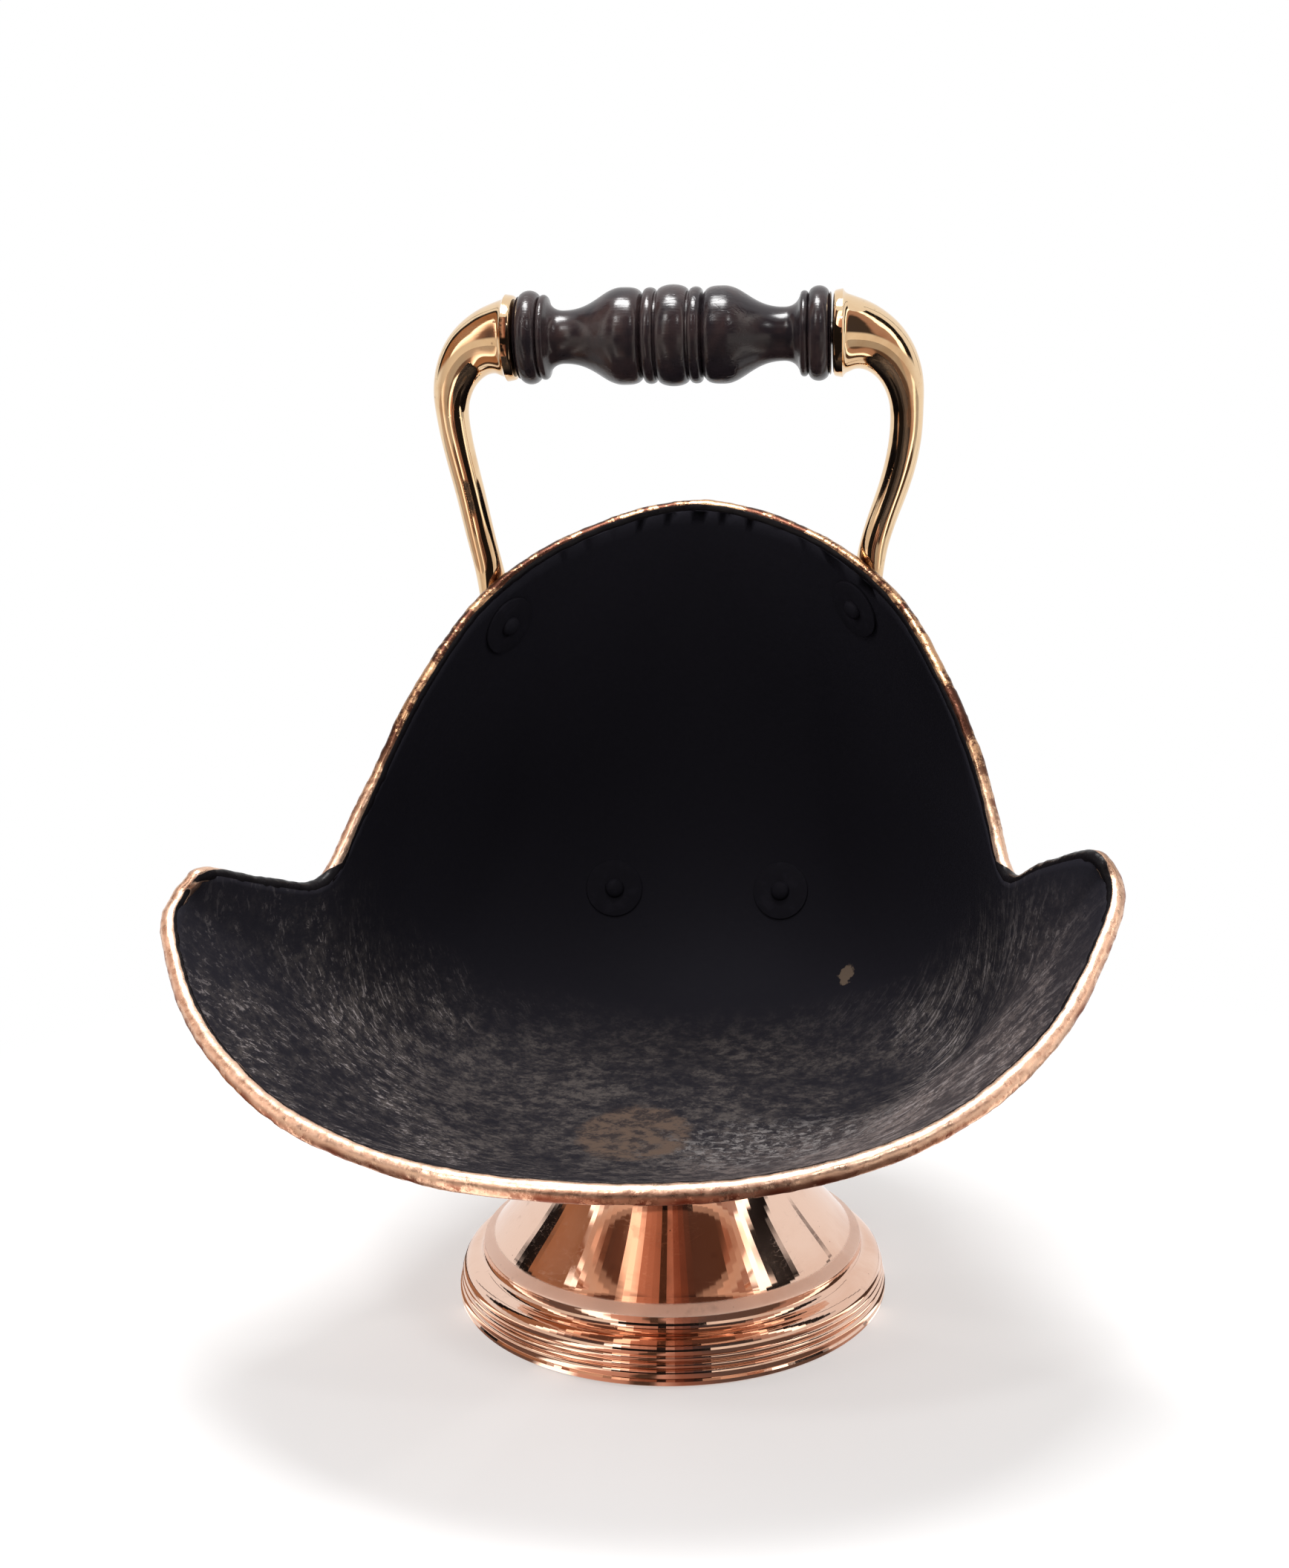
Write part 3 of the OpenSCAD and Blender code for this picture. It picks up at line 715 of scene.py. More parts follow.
# %% [markdown]
# ## The cast arms
# The CAD arms already have their sweep, their collars and their trumpet feet, but as
# flat facets. A smoothed copy keeps all of it. The edges of the bored holes are
# creased first, so that smoothing leaves them round and crisp. On the real overhead
# arms the neck behind each collar is a little fuller, so its points are moved out from
# the rod, most in the middle of the neck and less towards both ends.

# %% Fill out the overhead collars
COLLAR_END = 58.1
COLLAR_SWELL = 0.11
SWELL_RISE = (3.2, 5)
SWELL_FALL = (18, 9)
COLLAR_SKIN = (6, 18)


def swell_collar(piece, rod):
    """Fill out the neck behind a collar, which flares more slowly than the CAD one."""
    moved = 0
    for vertex in piece.data.vertices:
        behind = abs(vertex.co.x) / MM - COLLAR_END
        across = vertex.co - Vector((vertex.co.x, rod.y, rod.z))
        if COLLAR_SKIN[0] <= across.length / MM <= COLLAR_SKIN[1]:
            swell = COLLAR_SWELL * share(behind, *SWELL_RISE) * share(behind, *SWELL_FALL)
            vertex.co += across * swell
            moved += swell > 0
    print(piece.name, moved, "points filled out")


# %% Smooth the arms
ARM_LEVELS = 2
HOLE_EDGE = math.radians(65)


def cast_arm(node):
    piece = copy_of(node, node.replace("arm", "cast_arm"))
    if node.startswith("top"):
        swell_collar(piece, joint_place("top_grip_spin"))
    pair_triangles(piece)
    edit(piece, "EDGE")
    bpy.ops.mesh.edges_select_sharp(sharpness=HOLE_EDGE)
    bpy.ops.transform.edge_crease(value=1)
    leave_edit()
    apply_modifier(piece, "SUBSURF", levels=ARM_LEVELS, render_levels=ARM_LEVELS)
    shade(piece, 50)
    print(piece.name, triangles(piece), "triangles")
    return piece


arm_nodes = ["top_arm_left", "top_arm_right", "rear_arm_left", "rear_arm_right"]
arms = {node: cast_arm(node) for node in arm_nodes}

# %% [markdown]
# ## Washers and screws
# They sit inside the bowl, under the same black. Bevelled edges catch a little light.

# %% Round the edges of washers and screws
SOFT_EDGE = 0.35 * MM


def soft_edges(node, name):
    piece = copy_of(node, name)
    apply_modifier(piece, "BEVEL", width=SOFT_EDGE, segments=3, limit_method="ANGLE",
                   angle_limit=math.radians(50))
    shade(piece, 40)
    print(name, triangles(piece), "triangles")
    return piece


fasteners = {node: soft_edges(node, node.replace("foot_", "painted_"))
             for node in ("top_foot_washers", "rear_foot_washers",
                          "top_foot_screws", "rear_foot_screws")}

# %% [markdown]
# ## Materials
# A few helpers keep the node trees readable. The first adds a node, sets what is
# constant and links what varies, in one call. The others are named for what they do,
# so that a material reads like a recipe.

# %% Add a node, and reckon with values
def add(tree, kind, inputs=None, **settings):
    """Add a node; inputs holds values or sockets to link, by socket name or number."""
    made = tree.nodes.new("ShaderNode" + kind)
    for name, value in settings.items():
        setattr(made, name, value)
    for name, value in (inputs or {}).items():
        if isinstance(value, bpy.types.NodeSocket):
            tree.links.new(value, made.inputs[name])
        else:
            made.inputs[name].default_value = value
    return made


def calc(tree, operation, a, b=0.5):
    return add(tree, "Math", {0: a, 1: b}, operation=operation).outputs[0]


def times(tree, *factors):
    """The product of two or more values."""
    product = factors[0]
    for factor in factors[1:]:
        product = calc(tree, "MULTIPLY", product, factor)
    return product


def remap(tree, value, low, high, to_low=0.0, to_high=1.0):
    """A soft step: to_low below low, to_high above high."""
    return add(tree, "MapRange", {"Value": value, "From Min": low, "From Max": high,
                                  "To Min": to_low, "To Max": to_high},
               interpolation_type="SMOOTHSTEP").outputs["Result"]


def fade_out(tree, value, reach):
    """1 at zero, falling evenly to 0 at a reach."""
    return add(tree, "MapRange", {"Value": value, "From Min": 0.0, "From Max": reach,
                                  "To Min": 1.0, "To Max": 0.0}).outputs["Result"]


# %% Colours
def rgba(colour):
    """A colour with full opacity; a socket passes unchanged."""
    return colour if isinstance(colour, bpy.types.NodeSocket) else (*colour, 1)


def blend_colour(tree, part, a, b):
    return add(tree, "Mix", {0: part, 6: rgba(a), 7: rgba(b)}, data_type="RGBA").outputs[2]


# %% Places, marks and noise
def noise(tree, vector, scale, detail=3, rough=0.5, distort=0.0):
    return add(tree, "TexNoise", {"Vector": vector, "Scale": scale, "Detail": detail,
                                  "Roughness": rough, "Distortion": distort}).outputs["Fac"]


def scaled(tree, vector, factors):
    return add(tree, "VectorMath", {0: vector, 1: factors}, operation="MULTIPLY").outputs[0]


def length_of(tree, vector):
    return add(tree, "VectorMath", {0: vector}, operation="LENGTH").outputs["Value"]


def axes_of(tree, vector):
    return add(tree, "SeparateXYZ", {"Vector": vector}).outputs


def object_place(tree):
    return add(tree, "TexCoord").outputs["Object"]


def mark(tree, name, output="Fac"):
    """A value that was marked on the mesh."""
    return add(tree, "Attribute", attribute_name=name).outputs[output]


# %% Helpers for whole materials
def new_material(name):
    """A material, its node tree and its Principled BSDF."""
    material = bpy.data.materials.new(name)
    material.use_nodes = True
    tree = material.node_tree
    return material, tree, tree.nodes["Principled BSDF"]


def dress(tree, shader, colour, rough, bump, depth, height):
    """Link a shader's colour and roughness, and bumps as deep as a number of mm."""
    bumps = add(tree, "Bump", {"Strength": bump, "Distance": depth * MM, "Height": height})
    tree.links.new(colour, shader.inputs["Base Color"])
    tree.links.new(rough, shader.inputs["Roughness"])
    tree.links.new(bumps.outputs["Normal"], shader.inputs["Normal"])


def give(piece, material):
    piece.data.materials.clear()
    piece.data.materials.append(material)
    print(piece.name, "gets", material.name)


# %% [markdown]
# Three effects turn up on several finishes, so each is a node group that a material
# uses with its own values: cloudy patches for tarnish and smears, hairline scratches
# from polishing cloths and coal, and pits. Each gives one mask, from 0 to 1.

# %% Shared effects
def patches(tree, given):
    cloud = noise(tree, given["Vector"], given["Scale"], 6, 0.6, 0.4)
    return remap(tree, cloud, given["Low"], given["High"])


def scratches(tree, given):
    """Lines where a stretched noise crosses its middle, in some places only."""
    stretched = scaled(tree, given["Vector"], given["Stretch"])
    ridge = noise(tree, stretched, given["Scale"], 2, 0.5, 0.3)
    away = calc(tree, "ABSOLUTE", calc(tree, "SUBTRACT", ridge, 0.5))
    some = remap(tree, noise(tree, given["Vector"], 35, 3), 0.42, 0.62)
    return times(tree, fade_out(tree, away, given["Width"]), some)


def pits(tree, given):
    """Dots at the middles of cells, in some places only."""
    cell = add(tree, "TexVoronoi", {"Vector": given["Vector"], "Scale": given["Scale"]})
    some = remap(tree, noise(tree, given["Vector"], 60, 4), 0.55, 0.68)
    return times(tree, fade_out(tree, cell.outputs["Distance"], given["Size"]), some)


def new_group(effect, **defaults):
    """A node group for an effect: a Vector and the named inputs in, a Mask out."""
    tree = bpy.data.node_groups.new(effect.__name__, "ShaderNodeTree")
    tree.interface.new_socket("Vector", in_out="INPUT", socket_type="NodeSocketVector")
    for name, default in defaults.items():
        kind = "NodeSocketVector" if isinstance(default, tuple) else "NodeSocketFloat"
        socket = tree.interface.new_socket(name, in_out="INPUT", socket_type=kind)
        socket.default_value = default
    tree.interface.new_socket("Mask", in_out="OUTPUT", socket_type="NodeSocketFloat")
    given = tree.nodes.new("NodeGroupInput").outputs
    result = tree.nodes.new("NodeGroupOutput").inputs
    tree.links.new(effect(tree, given), result["Mask"])
    return tree


def use_group(tree, group, place, **values):
    """A group placed in a material with its own values: its mask."""
    return add(tree, "Group", {"Vector": place, **values}, node_tree=group).outputs["Mask"]


PATCHES = new_group(patches, Scale=30.0, Low=0.45, High=0.65)
SCRATCHES = new_group(scratches, Stretch=(1, 1, 1), Scale=60.0, Width=0.04)
PITS = new_group(pits, Scale=300.0, Size=0.12)
print("groups:", [group.name for group in (PATCHES, SCRATCHES, PITS)])

# %% [markdown]
# The copper is polished by hand. It is a mirror with faint cloudy tarnish, a few brown
# stains and pits, and a surface that swells a little, which bends the mirror images.
# The function gives back its colour, roughness and height, so that the foot and the
# outside of the bowl can share it. On the foot, a flat ledge was left satin, so it is
# made rougher there, and less metallic, which makes it scatter light like dull metal.

# %% Polished copper
COPPER = (0.82, 0.57, 0.45)
COPPER_DEEP = (0.62, 0.32, 0.20)
COPPER_BROWN = (0.13, 0.045, 0.03)
FOOT_WAVES = 26
SHEET_WAVES = 34
LEDGE_SATIN = 0.35
LEDGE_DULL = 0.7


def copper_look(tree, place, waves):
    """Colour, roughness and height of hand-polished copper."""
    tarnish = use_group(tree, PATCHES, place, Scale=24.0, Low=0.46, High=0.74)
    stain = use_group(tree, PATCHES, place, Scale=85.0, Low=0.60, High=0.72)
    pitted = use_group(tree, PITS, place, Scale=420.0, Size=0.14)
    lines = use_group(tree, SCRATCHES, place, Stretch=(1, 1, 3), Scale=160.0, Width=0.02)
    colour = blend_colour(tree, times(tree, tarnish, 0.4), COPPER, COPPER_DEEP)
    colour = blend_colour(tree, times(tree, stain, 0.22), colour, COPPER_BROWN)
    colour = blend_colour(tree, pitted, colour, COPPER_BROWN)
    rough = remap(tree, noise(tree, place, 40, 5), 0.3, 0.75, 0.03, 0.08)
    rough = calc(tree, "ADD", rough, times(tree, lines, 0.10))
    swell = noise(tree, place, waves, 1, 0.4)
    return colour, rough, calc(tree, "SUBTRACT", swell, times(tree, pitted, 0.05))


def foot_material():
    material, tree, shader = new_material("polished_copper")
    place = object_place(tree)
    colour, rough, height = copper_look(tree, place, FOOT_WAVES)
    up = axes_of(tree, place)["Z"]
    low, high = LEDGE[0] * MM, LEDGE[1] * MM
    ledge = times(tree, remap(tree, up, low - 0.3 * MM, low + 0.3 * MM),
                  remap(tree, up, high + 0.6 * MM, high - 0.2 * MM))
    rough = calc(tree, "ADD", rough, times(tree, ledge, LEDGE_SATIN))
    metallic = calc(tree, "SUBTRACT", 1.0, times(tree, ledge, LEDGE_DULL))
    tree.links.new(metallic, shader.inputs["Metallic"])
    dress(tree, shader, colour, rough, 0.3, 1.2, height)
    return material


give(foot, foot_material())

# %% [markdown]
# The inside wears an old coat of stove black. Coal has covered it with grey ash,
# scraped it along the way it slides, and rubbed it through to the metal in one patch
# in front. Nothing here is a picture: each layer is a noise, kept to its place by soft
# steps along the axes, and the layers are blended one over the other. The ash and the
# scrapes lie only low down and in front. That step is partly coal wear and partly
# painted light and shade: the front is paler as if lit, and the back wall under the
# hood stays black as if in the hood's shadow.

# %% Colours and places of the black inside
BLACK = (0.0122, 0.0114, 0.0154)
ASH_GREY = (0.068, 0.058, 0.055)
ASH_PALE = (0.160, 0.128, 0.120)
SCRAPE_GREY = (0.32, 0.28, 0.275)
CHALK = (0.22, 0.20, 0.195)
RUBBED_TAN = (0.094, 0.064, 0.049)
FLECK = (0.125, 0.090, 0.066)

CHALK_MIDDLE, CHALK_SIZE = (0.044, -0.056, 0.080), (0.058, 0.040, 0.05)
RUBBED_MIDDLE, RUBBED_SIZE = (-0.008, -0.043, 0.077), (0.022, 0.030, 0.03)
FLECK_MIDDLE, FLECK_SIZE = (0.064, 0.078, 0.101), (0.0042, 0.0042, 0.0055)

# Places of the wear mask, which is partly coal wear and partly painted shade: pale low in front,
# black at the back under the hood.
WEAR_AND_SHADE_HEIGHT = (0.185, 0.092)
WEAR_AND_SHADE_DEPTH = (0.09, 0.02)
WEAR_AND_SHADE_SLOPE = 0.9
WEAR_AND_SHADE_START = 0.08
WALL_START = (0.080, 0.100)
print("bare patch:", [round(2 * size / MM) for size in RUBBED_SIZE[:2]], "mm")


# %% Layers of the black inside
def near(tree, place, middle, size, reach=(1.0, 0.8), ragged=0.9):
    """A spot: 1 around a middle, 0 outside, its border ragged."""
    offset = add(tree, "VectorMath", {0: place, 1: middle}, operation="SUBTRACT").outputs[0]
    length = length_of(tree, scaled(tree, offset, tuple(1 / s for s in size)))
    border = calc(tree, "SUBTRACT", noise(tree, place, 150, 6, 0.65), 0.5)
    return remap(tree, calc(tree, "ADD", length, times(tree, border, ragged)), *reach)


def slide_noise(tree, slide, stretch, scale, detail, rough, distort):
    """Noise drawn out along the way coal slides."""
    return noise(tree, scaled(tree, slide, (1, 1, stretch)), scale, detail, rough, distort)


def wear_and_painted_shade(tree, axes):
    """Where coal rubs, and painted light and shade: low down, and less far up towards the back, so
    that the back wall under the hood stays black as if shaded.
    """
    rising = times(tree, calc(tree, "SUBTRACT", axes["Z"], WEAR_AND_SHADE_START), WEAR_AND_SHADE_SLOPE)
    in_front = remap(tree, calc(tree, "ADD", axes["Y"], rising), *WEAR_AND_SHADE_DEPTH)
    return times(tree, remap(tree, axes["Z"], *WEAR_AND_SHADE_HEIGHT), in_front)


def ash(tree, axes, cloud, mottle, grain):
    """How thick the ash lies and its grey, both more at the front right."""
    thick = times(tree, remap(tree, mottle, 0.40, 0.62, 0.15, 1.12),
                  remap(tree, cloud, 0.34, 0.62, 0.25, 1.0),
                  remap(tree, grain, 0.38, 0.62, 0.35, 1.5))
    front_right = times(tree, remap(tree, axes["X"], -0.01, 0.06),
                        remap(tree, axes["Y"], -0.02, -0.08))
    grey = blend_colour(tree, times(tree, front_right, 0.8), ASH_GREY, ASH_PALE)
    return calc(tree, "ADD", thick, times(tree, front_right, 0.22)), grey


def scrapes(tree, axes, cloud, mottle, grain):
    """Short dashes on both walls, and long streaks on the right one."""
    slide = mark(tree, "slide", "Vector")
    dashes = times(tree, remap(tree, slide_noise(tree, slide, 3.4, 84, 4, 0.72, 0.6), 0.555, 0.600),
                   remap(tree, mottle, 0.44, 0.54), 0.75)
    streaks = times(tree, remap(tree, slide_noise(tree, slide, 0.8, 46, 5, 0.70, 0.3), 0.53, 0.62),
                    remap(tree, grain, 0.40, 0.56, 0.30, 1.0),
                    remap(tree, axes["X"], 0.02, 0.09), 0.65)
    return times(tree, calc(tree, "MAXIMUM", dashes, streaks),
                 remap(tree, cloud, 0.38, 0.56, 0.20, 1), remap(tree, axes["Z"], *WALL_START))


def black_look(tree, place):
    """Colour, roughness and height of the scraped black inside."""
    axes = axes_of(tree, place)
    cloud = noise(tree, place, 21, 7, 0.62, 0.4)
    mottle = noise(tree, place, 140, 7, 0.78, 0.15)
    grain = noise(tree, place, 420, 5, 0.75)
    # worn is coal wear and painted shade together: ash and scrapes stay in front, and the back wall
    # stays black as if the hood shaded it.
    worn = wear_and_painted_shade(tree, axes)
    thick, grey = ash(tree, axes, cloud, mottle, grain)
    scraped = times(tree, scrapes(tree, axes, cloud, mottle, grain), worn)
    colour = blend_colour(tree, times(tree, thick, worn), BLACK, grey)
    colour = blend_colour(tree, scraped, colour, SCRAPE_GREY)

    crumbs = remap(tree, noise(tree, place, 260, 6, 0.78, 0.5), 0.48, 0.60)
    chalk = near(tree, place, CHALK_MIDDLE, CHALK_SIZE, (1.0, 0.3))
    colour = blend_colour(tree, times(tree, chalk, crumbs, 0.75), colour, CHALK)
    rubbed = near(tree, place, RUBBED_MIDDLE, RUBBED_SIZE, ragged=0.5)
    left = remap(tree, mottle, 0.42, 0.58, 0.2, 1)
    colour = blend_colour(tree, times(tree, rubbed, left), colour, RUBBED_TAN)
    fleck = near(tree, place, FLECK_MIDDLE, FLECK_SIZE, (1.0, 0.85), 1.8)
    colour = blend_colour(tree, fleck, colour, FLECK)

    rough = remap(tree, grain, 0.2, 0.8, 0.55, 0.75)
    height = calc(tree, "ADD", times(tree, grain, 0.25), times(tree, mottle, 0.5))
    return colour, rough, calc(tree, "SUBTRACT", height, times(tree, scraped, 0.2))


# %% [markdown]
# The sheet has two faces and one material. The mark made on the mesh chooses between
# the polish outside and the black inside, so colour, roughness, height and metal all
# change at the rim together.

# %% The raised sheet
def sheet_material():
    material, tree, shader = new_material("raised_sheet")
    place = object_place(tree)
    within = remap(tree, mark(tree, "inside"), 0.02, 0.10)
    outside = calc(tree, "SUBTRACT", 1.0, within)
    copper, black = copper_look(tree, place, SHEET_WAVES), black_look(tree, place)
    colour = blend_colour(tree, within, copper[0], black[0])
    rough, height = [calc(tree, "ADD", times(tree, outer, outside), times(tree, inner, within))
                     for outer, inner in zip(copper[1:], black[1:])]
    tree.links.new(outside, shader.inputs["Metallic"])
    shader.inputs["Specular IOR Level"].default_value = 0.03
    dress(tree, shader, colour, rough, 0.45, 1.0, height)
    return material


give(bowl, sheet_material())

# %% [markdown]
# The rolled edge is the part that hands and coal touch most. At the lip it is pale on
# top and worn red underneath, and along the hood it is darker, golden and flecked. On
# its inner side the black runs out in a thin uneven line.

# %% The hammered rim
BEAD_PALE = (0.80, 0.535, 0.39)
BEAD_WORN = (0.28, 0.085, 0.048)
BEAD_DARK = (0.07, 0.028, 0.018)
BEAD_GOLD = (0.50, 0.29, 0.16)
OXIDE = (0.006, 0.005, 0.006)


def bead_material():
    material, tree, shader = new_material("hammered_rim")
    place = object_place(tree)
    fine = noise(tree, place, 330, 5, 0.72)
    flecks = calc(tree, "SUBTRACT", fine, 0.5)
    mixture = calc(tree, "ADD", noise(tree, place, 42, 6, 0.72, 0.6), times(tree, flecks, 0.5))
    low_side = remap(tree, mark(tree, "outer_side"), -0.15, 0.8)
    on_hood = remap(tree, axes_of(tree, place)["Z"], 0.165, 0.215)
    past_black = remap(tree, mark(tree, "from_black"), -0.15, 0.15)

    colour = blend_colour(tree, on_hood, BEAD_PALE, BEAD_GOLD)
    worn = times(tree, remap(tree, mixture, 0.48, 0.53), low_side)
    colour = blend_colour(tree, worn, colour, BEAD_WORN)
    dark = times(tree, on_hood, remap(tree, mixture, 0.43, 0.53))
    colour = blend_colour(tree, dark, colour, BEAD_DARK)
    colour = blend_colour(tree, past_black, OXIDE, colour)
    rough = remap(tree, fine, 0.3, 0.7, 0.24, 0.42)
    tree.links.new(past_black, shader.inputs["Metallic"])
    shader.inputs["Specular IOR Level"].default_value = 0.12
    dress(tree, shader, colour, rough, 0.45, 0.4, noise(tree, place, 420, 3))
    return material


give(bead, bead_material())

# %% [markdown]
# The arms were cast in sand and then polished. Brass is yellower than copper, and its
# polish leaves small casting pits, which have gone dark.

# %% Cast brass
BRASS = (0.84, 0.62, 0.39)
BRASS_DEEP = (0.62, 0.36, 0.17)
BRASS_PIT = (0.06, 0.03, 0.015)


def brass_material():
    material, tree, shader = new_material("cast_brass")
    place = object_place(tree)
    cloud = use_group(tree, PATCHES, place, Scale=45.0, Low=0.45, High=0.7)
    pitted = use_group(tree, PITS, place, Scale=330.0, Size=0.22)
    colour = blend_colour(tree, times(tree, cloud, 0.5), BRASS, BRASS_DEEP)
    colour = blend_colour(tree, pitted, colour, BRASS_PIT)
    rough = remap(tree, noise(tree, place, 50, 4), 0.3, 0.7, 0.03, 0.09)
    height = calc(tree, "SUBTRACT", noise(tree, place, 60, 2), times(tree, pitted, 0.6))
    shader.inputs["Metallic"].default_value = 1.0
    dress(tree, shader, colour, rough, 0.25, 0.6, height)
    return material


brass = brass_material()
for arm in arms.values():
    give(arm, brass)

# %% [markdown]
# Ebonised wood is a plain hardwood stained black and waxed. A fine grain along the
# grip breaks up its shine, and hands have warmed the black in places.

# %% Ebonised wood
WOOD = (0.0125, 0.0092, 0.0112)
WOOD_WARM = (0.030, 0.018, 0.018)
GRAIN_ALONG_GRIP = (0.12, 1, 1)


def wood_material():
    material, tree, shader = new_material("ebonised_wood")
    place = object_place(tree)
    grain = noise(tree, scaled(tree, place, GRAIN_ALONG_GRIP), 500, 4, 0.6)
    handled = use_group(tree, PATCHES, place, Scale=50.0, Low=0.4, High=0.7)
    lines = use_group(tree, SCRATCHES, place, Stretch=(1, 2, 2), Scale=120.0, Width=0.03)
    colour = blend_colour(tree, handled, WOOD, WOOD_WARM)
    rough = remap(tree, grain, 0.3, 0.7, 0.16, 0.27)
    height = calc(tree, "SUBTRACT", grain, times(tree, lines, 0.8))
    shader.inputs["Specular IOR Level"].default_value = 0.38
    dress(tree, shader, colour, rough, 0.22, 0.25, height)
    return material


wood = wood_material()
for grip in (top_grip, rear_grip):
    give(grip, wood)

# %% [markdown]
# The washers and screws inside are iron under the same stove black as the wall round
# them. The wires and the rods stay bare. They are the CAD model's own pieces, and only
# get a material.

# %% Black-painted washers and bare iron
PAINTED_IRON = (0.0112, 0.0104, 0.0140)
BARE_IRON = (0.18, 0.17, 0.165)
WORN_LIGHTER = 1.3


def iron_material(name, colour, metallic, smoothest, roughest):
    material, tree, shader = new_material(name)
    place = object_place(tree)
    worn = use_group(tree, PATCHES, place, Scale=180.0, Low=0.5, High=0.7)
    lighter = tuple(part * WORN_LIGHTER for part in colour)
    rough = remap(tree, noise(tree, place, 200, 4), 0.3, 0.7, smoothest, roughest)
    shader.inputs["Metallic"].default_value = metallic
    shader.inputs["Specular IOR Level"].default_value = 0.03
    dress(tree, shader, blend_colour(tree, worn, colour, lighter), rough, 0.3, 0.2,
          noise(tree, place, 500, 3))
    return material


painted = iron_material("stove_black", PAINTED_IRON, 0.0, 0.6, 0.75)
bare_iron = iron_material("bare_iron", BARE_IRON, 1.0, 0.3, 0.5)
for piece in fasteners.values():
    give(piece, painted)
for node in ("rim_wire", "foot_edge_wire", "top_rod", "rear_rod"):
    give(frame["nodes"][node], bare_iron)

# %% [markdown]
# ## Riding and replacing
# Every piece moves with a CAD body and stands for the node that it replaces.

# %% Hang the pieces on their bodies
def stand_for(piece, body, node):
    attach(piece, body)
    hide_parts(node)
    print(piece.name, "rides on", body, "for", node)


stand_for(bowl, "scuttle", "body_shell")
stand_for(bead, "scuttle", "body_shell")
stand_for(foot, "scuttle", "foot")
stand_for(top_grip, "top_grip", "top_grip")
stand_for(rear_grip, "rear_grip", "rear_grip")
for node, arm in arms.items():
    stand_for(arm, "scuttle", node)
for node, piece in fasteners.items():
    stand_for(piece, "scuttle", node)

# %% [markdown]
# ## Floor, light and background
# The floor is pale and keeps the shadow. Farther out it turns plain white for the
# camera and for reflections, as the surroundings are, so no horizon shows.

# %% Floor
FLOOR_SIZE = 12.0
FLOOR_GREY = (0.88, 0.88, 0.88)
WHITE = (1, 1, 1)
FADE = (0.16, 0.46)
PALEST_SHADOW = 0.4


def camera_or_mirror(tree):
    """1 for rays from the camera, from a mirror or through glass, else 0."""
    rays = add(tree, "LightPath").outputs
    return calc(tree, "MAXIMUM", rays["Is Transmission Ray"],
                calc(tree, "MAXIMUM", rays["Is Camera Ray"], rays["Is Glossy Ray"]))


def floor_material():
    material, tree, shader = new_material("pale_floor")
    shader.inputs["Base Color"].default_value = rgba(FLOOR_GREY)
    shader.inputs["Roughness"].default_value = 0.9
    shader.inputs["Specular IOR Level"].default_value = 0.1
    white = add(tree, "Emission", {"Color": rgba(WHITE)})
    farther = remap(tree, length_of(tree, object_place(tree)), *FADE, to_low=PALEST_SHADOW)
    both = add(tree, "MixShader", {0: times(tree, farther, camera_or_mirror(tree)),
                                   1: shader.outputs[0], 2: white.outputs[0]})
    tree.links.new(both.outputs[0], tree.nodes["Material Output"].inputs["Surface"])
    return material


pick()
bpy.ops.mesh.primitive_plane_add(size=FLOOR_SIZE, location=(0, 0, cad_box[0].z))
floor = bpy.context.object
floor.name = "floor"
give(floor, floor_material())

# %% White surroundings
AMBIENT = 0.42

world = bpy.data.worlds.new("studio")
bpy.context.scene.world = world
world.use_nodes = True
tree = world.node_tree
strength = add(tree, "MapRange", {"Value": camera_or_mirror(tree), "To Min": AMBIENT,
                                  "To Max": 1.0})
backdrop = tree.nodes["Background"]
backdrop.inputs["Color"].default_value = rgba(WHITE)
tree.links.new(strength.outputs["Result"], backdrop.inputs["Strength"])
print("surroundings light the object at", AMBIENT)

# %% Soft lamps and small ones for glints
LAMP_AIM = Vector((0, 0, 0.18))


def lamp(name, place, size, watts):
    data = bpy.data.lights.new(name, "AREA")
    data.shape = "RECTANGLE"
    data.size, data.size_y = size
    data.energy = watts
    made = bpy.data.objects.new(name, data)
    made.location = place
    made.rotation_euler = (LAMP_AIM - Vector(place)).to_track_quat("-Z", "Y").to_euler()
    bpy.context.scene.collection.objects.link(made)
    print(name, watts, "W")


lamp("overhead", (-0.06, -0.10, 1.35), (0.5, 0.35), 16)
lamp("left_window", (-1.3, -0.3, 0.9), (0.6, 0.9), 7)
lamp("right_window", (1.3, -0.3, 0.9), (0.6, 0.9), 6)
lamp("front_glint", (-0.35, -0.95, 1.15), (0.12, 0.12), 3)
lamp("right_glint", (0.55, -0.85, 1.05), (0.08, 0.08), 1.5)

# %% [markdown]
# Polished metal is mostly a picture of its room. The photograph was taken in a dim
# shop: the foot mirrors dark and coppery upright bands behind the camera, a dark
# table in front, and bright sides. A curved wall and a table card stand in for the
# shop. Only mirror rays see them, so they change no light and no background. Colour
# ramps hold the bands, by direction round the axis: one ramp for what the foot
# mirrors, and one for the arms, which look lower into the room.

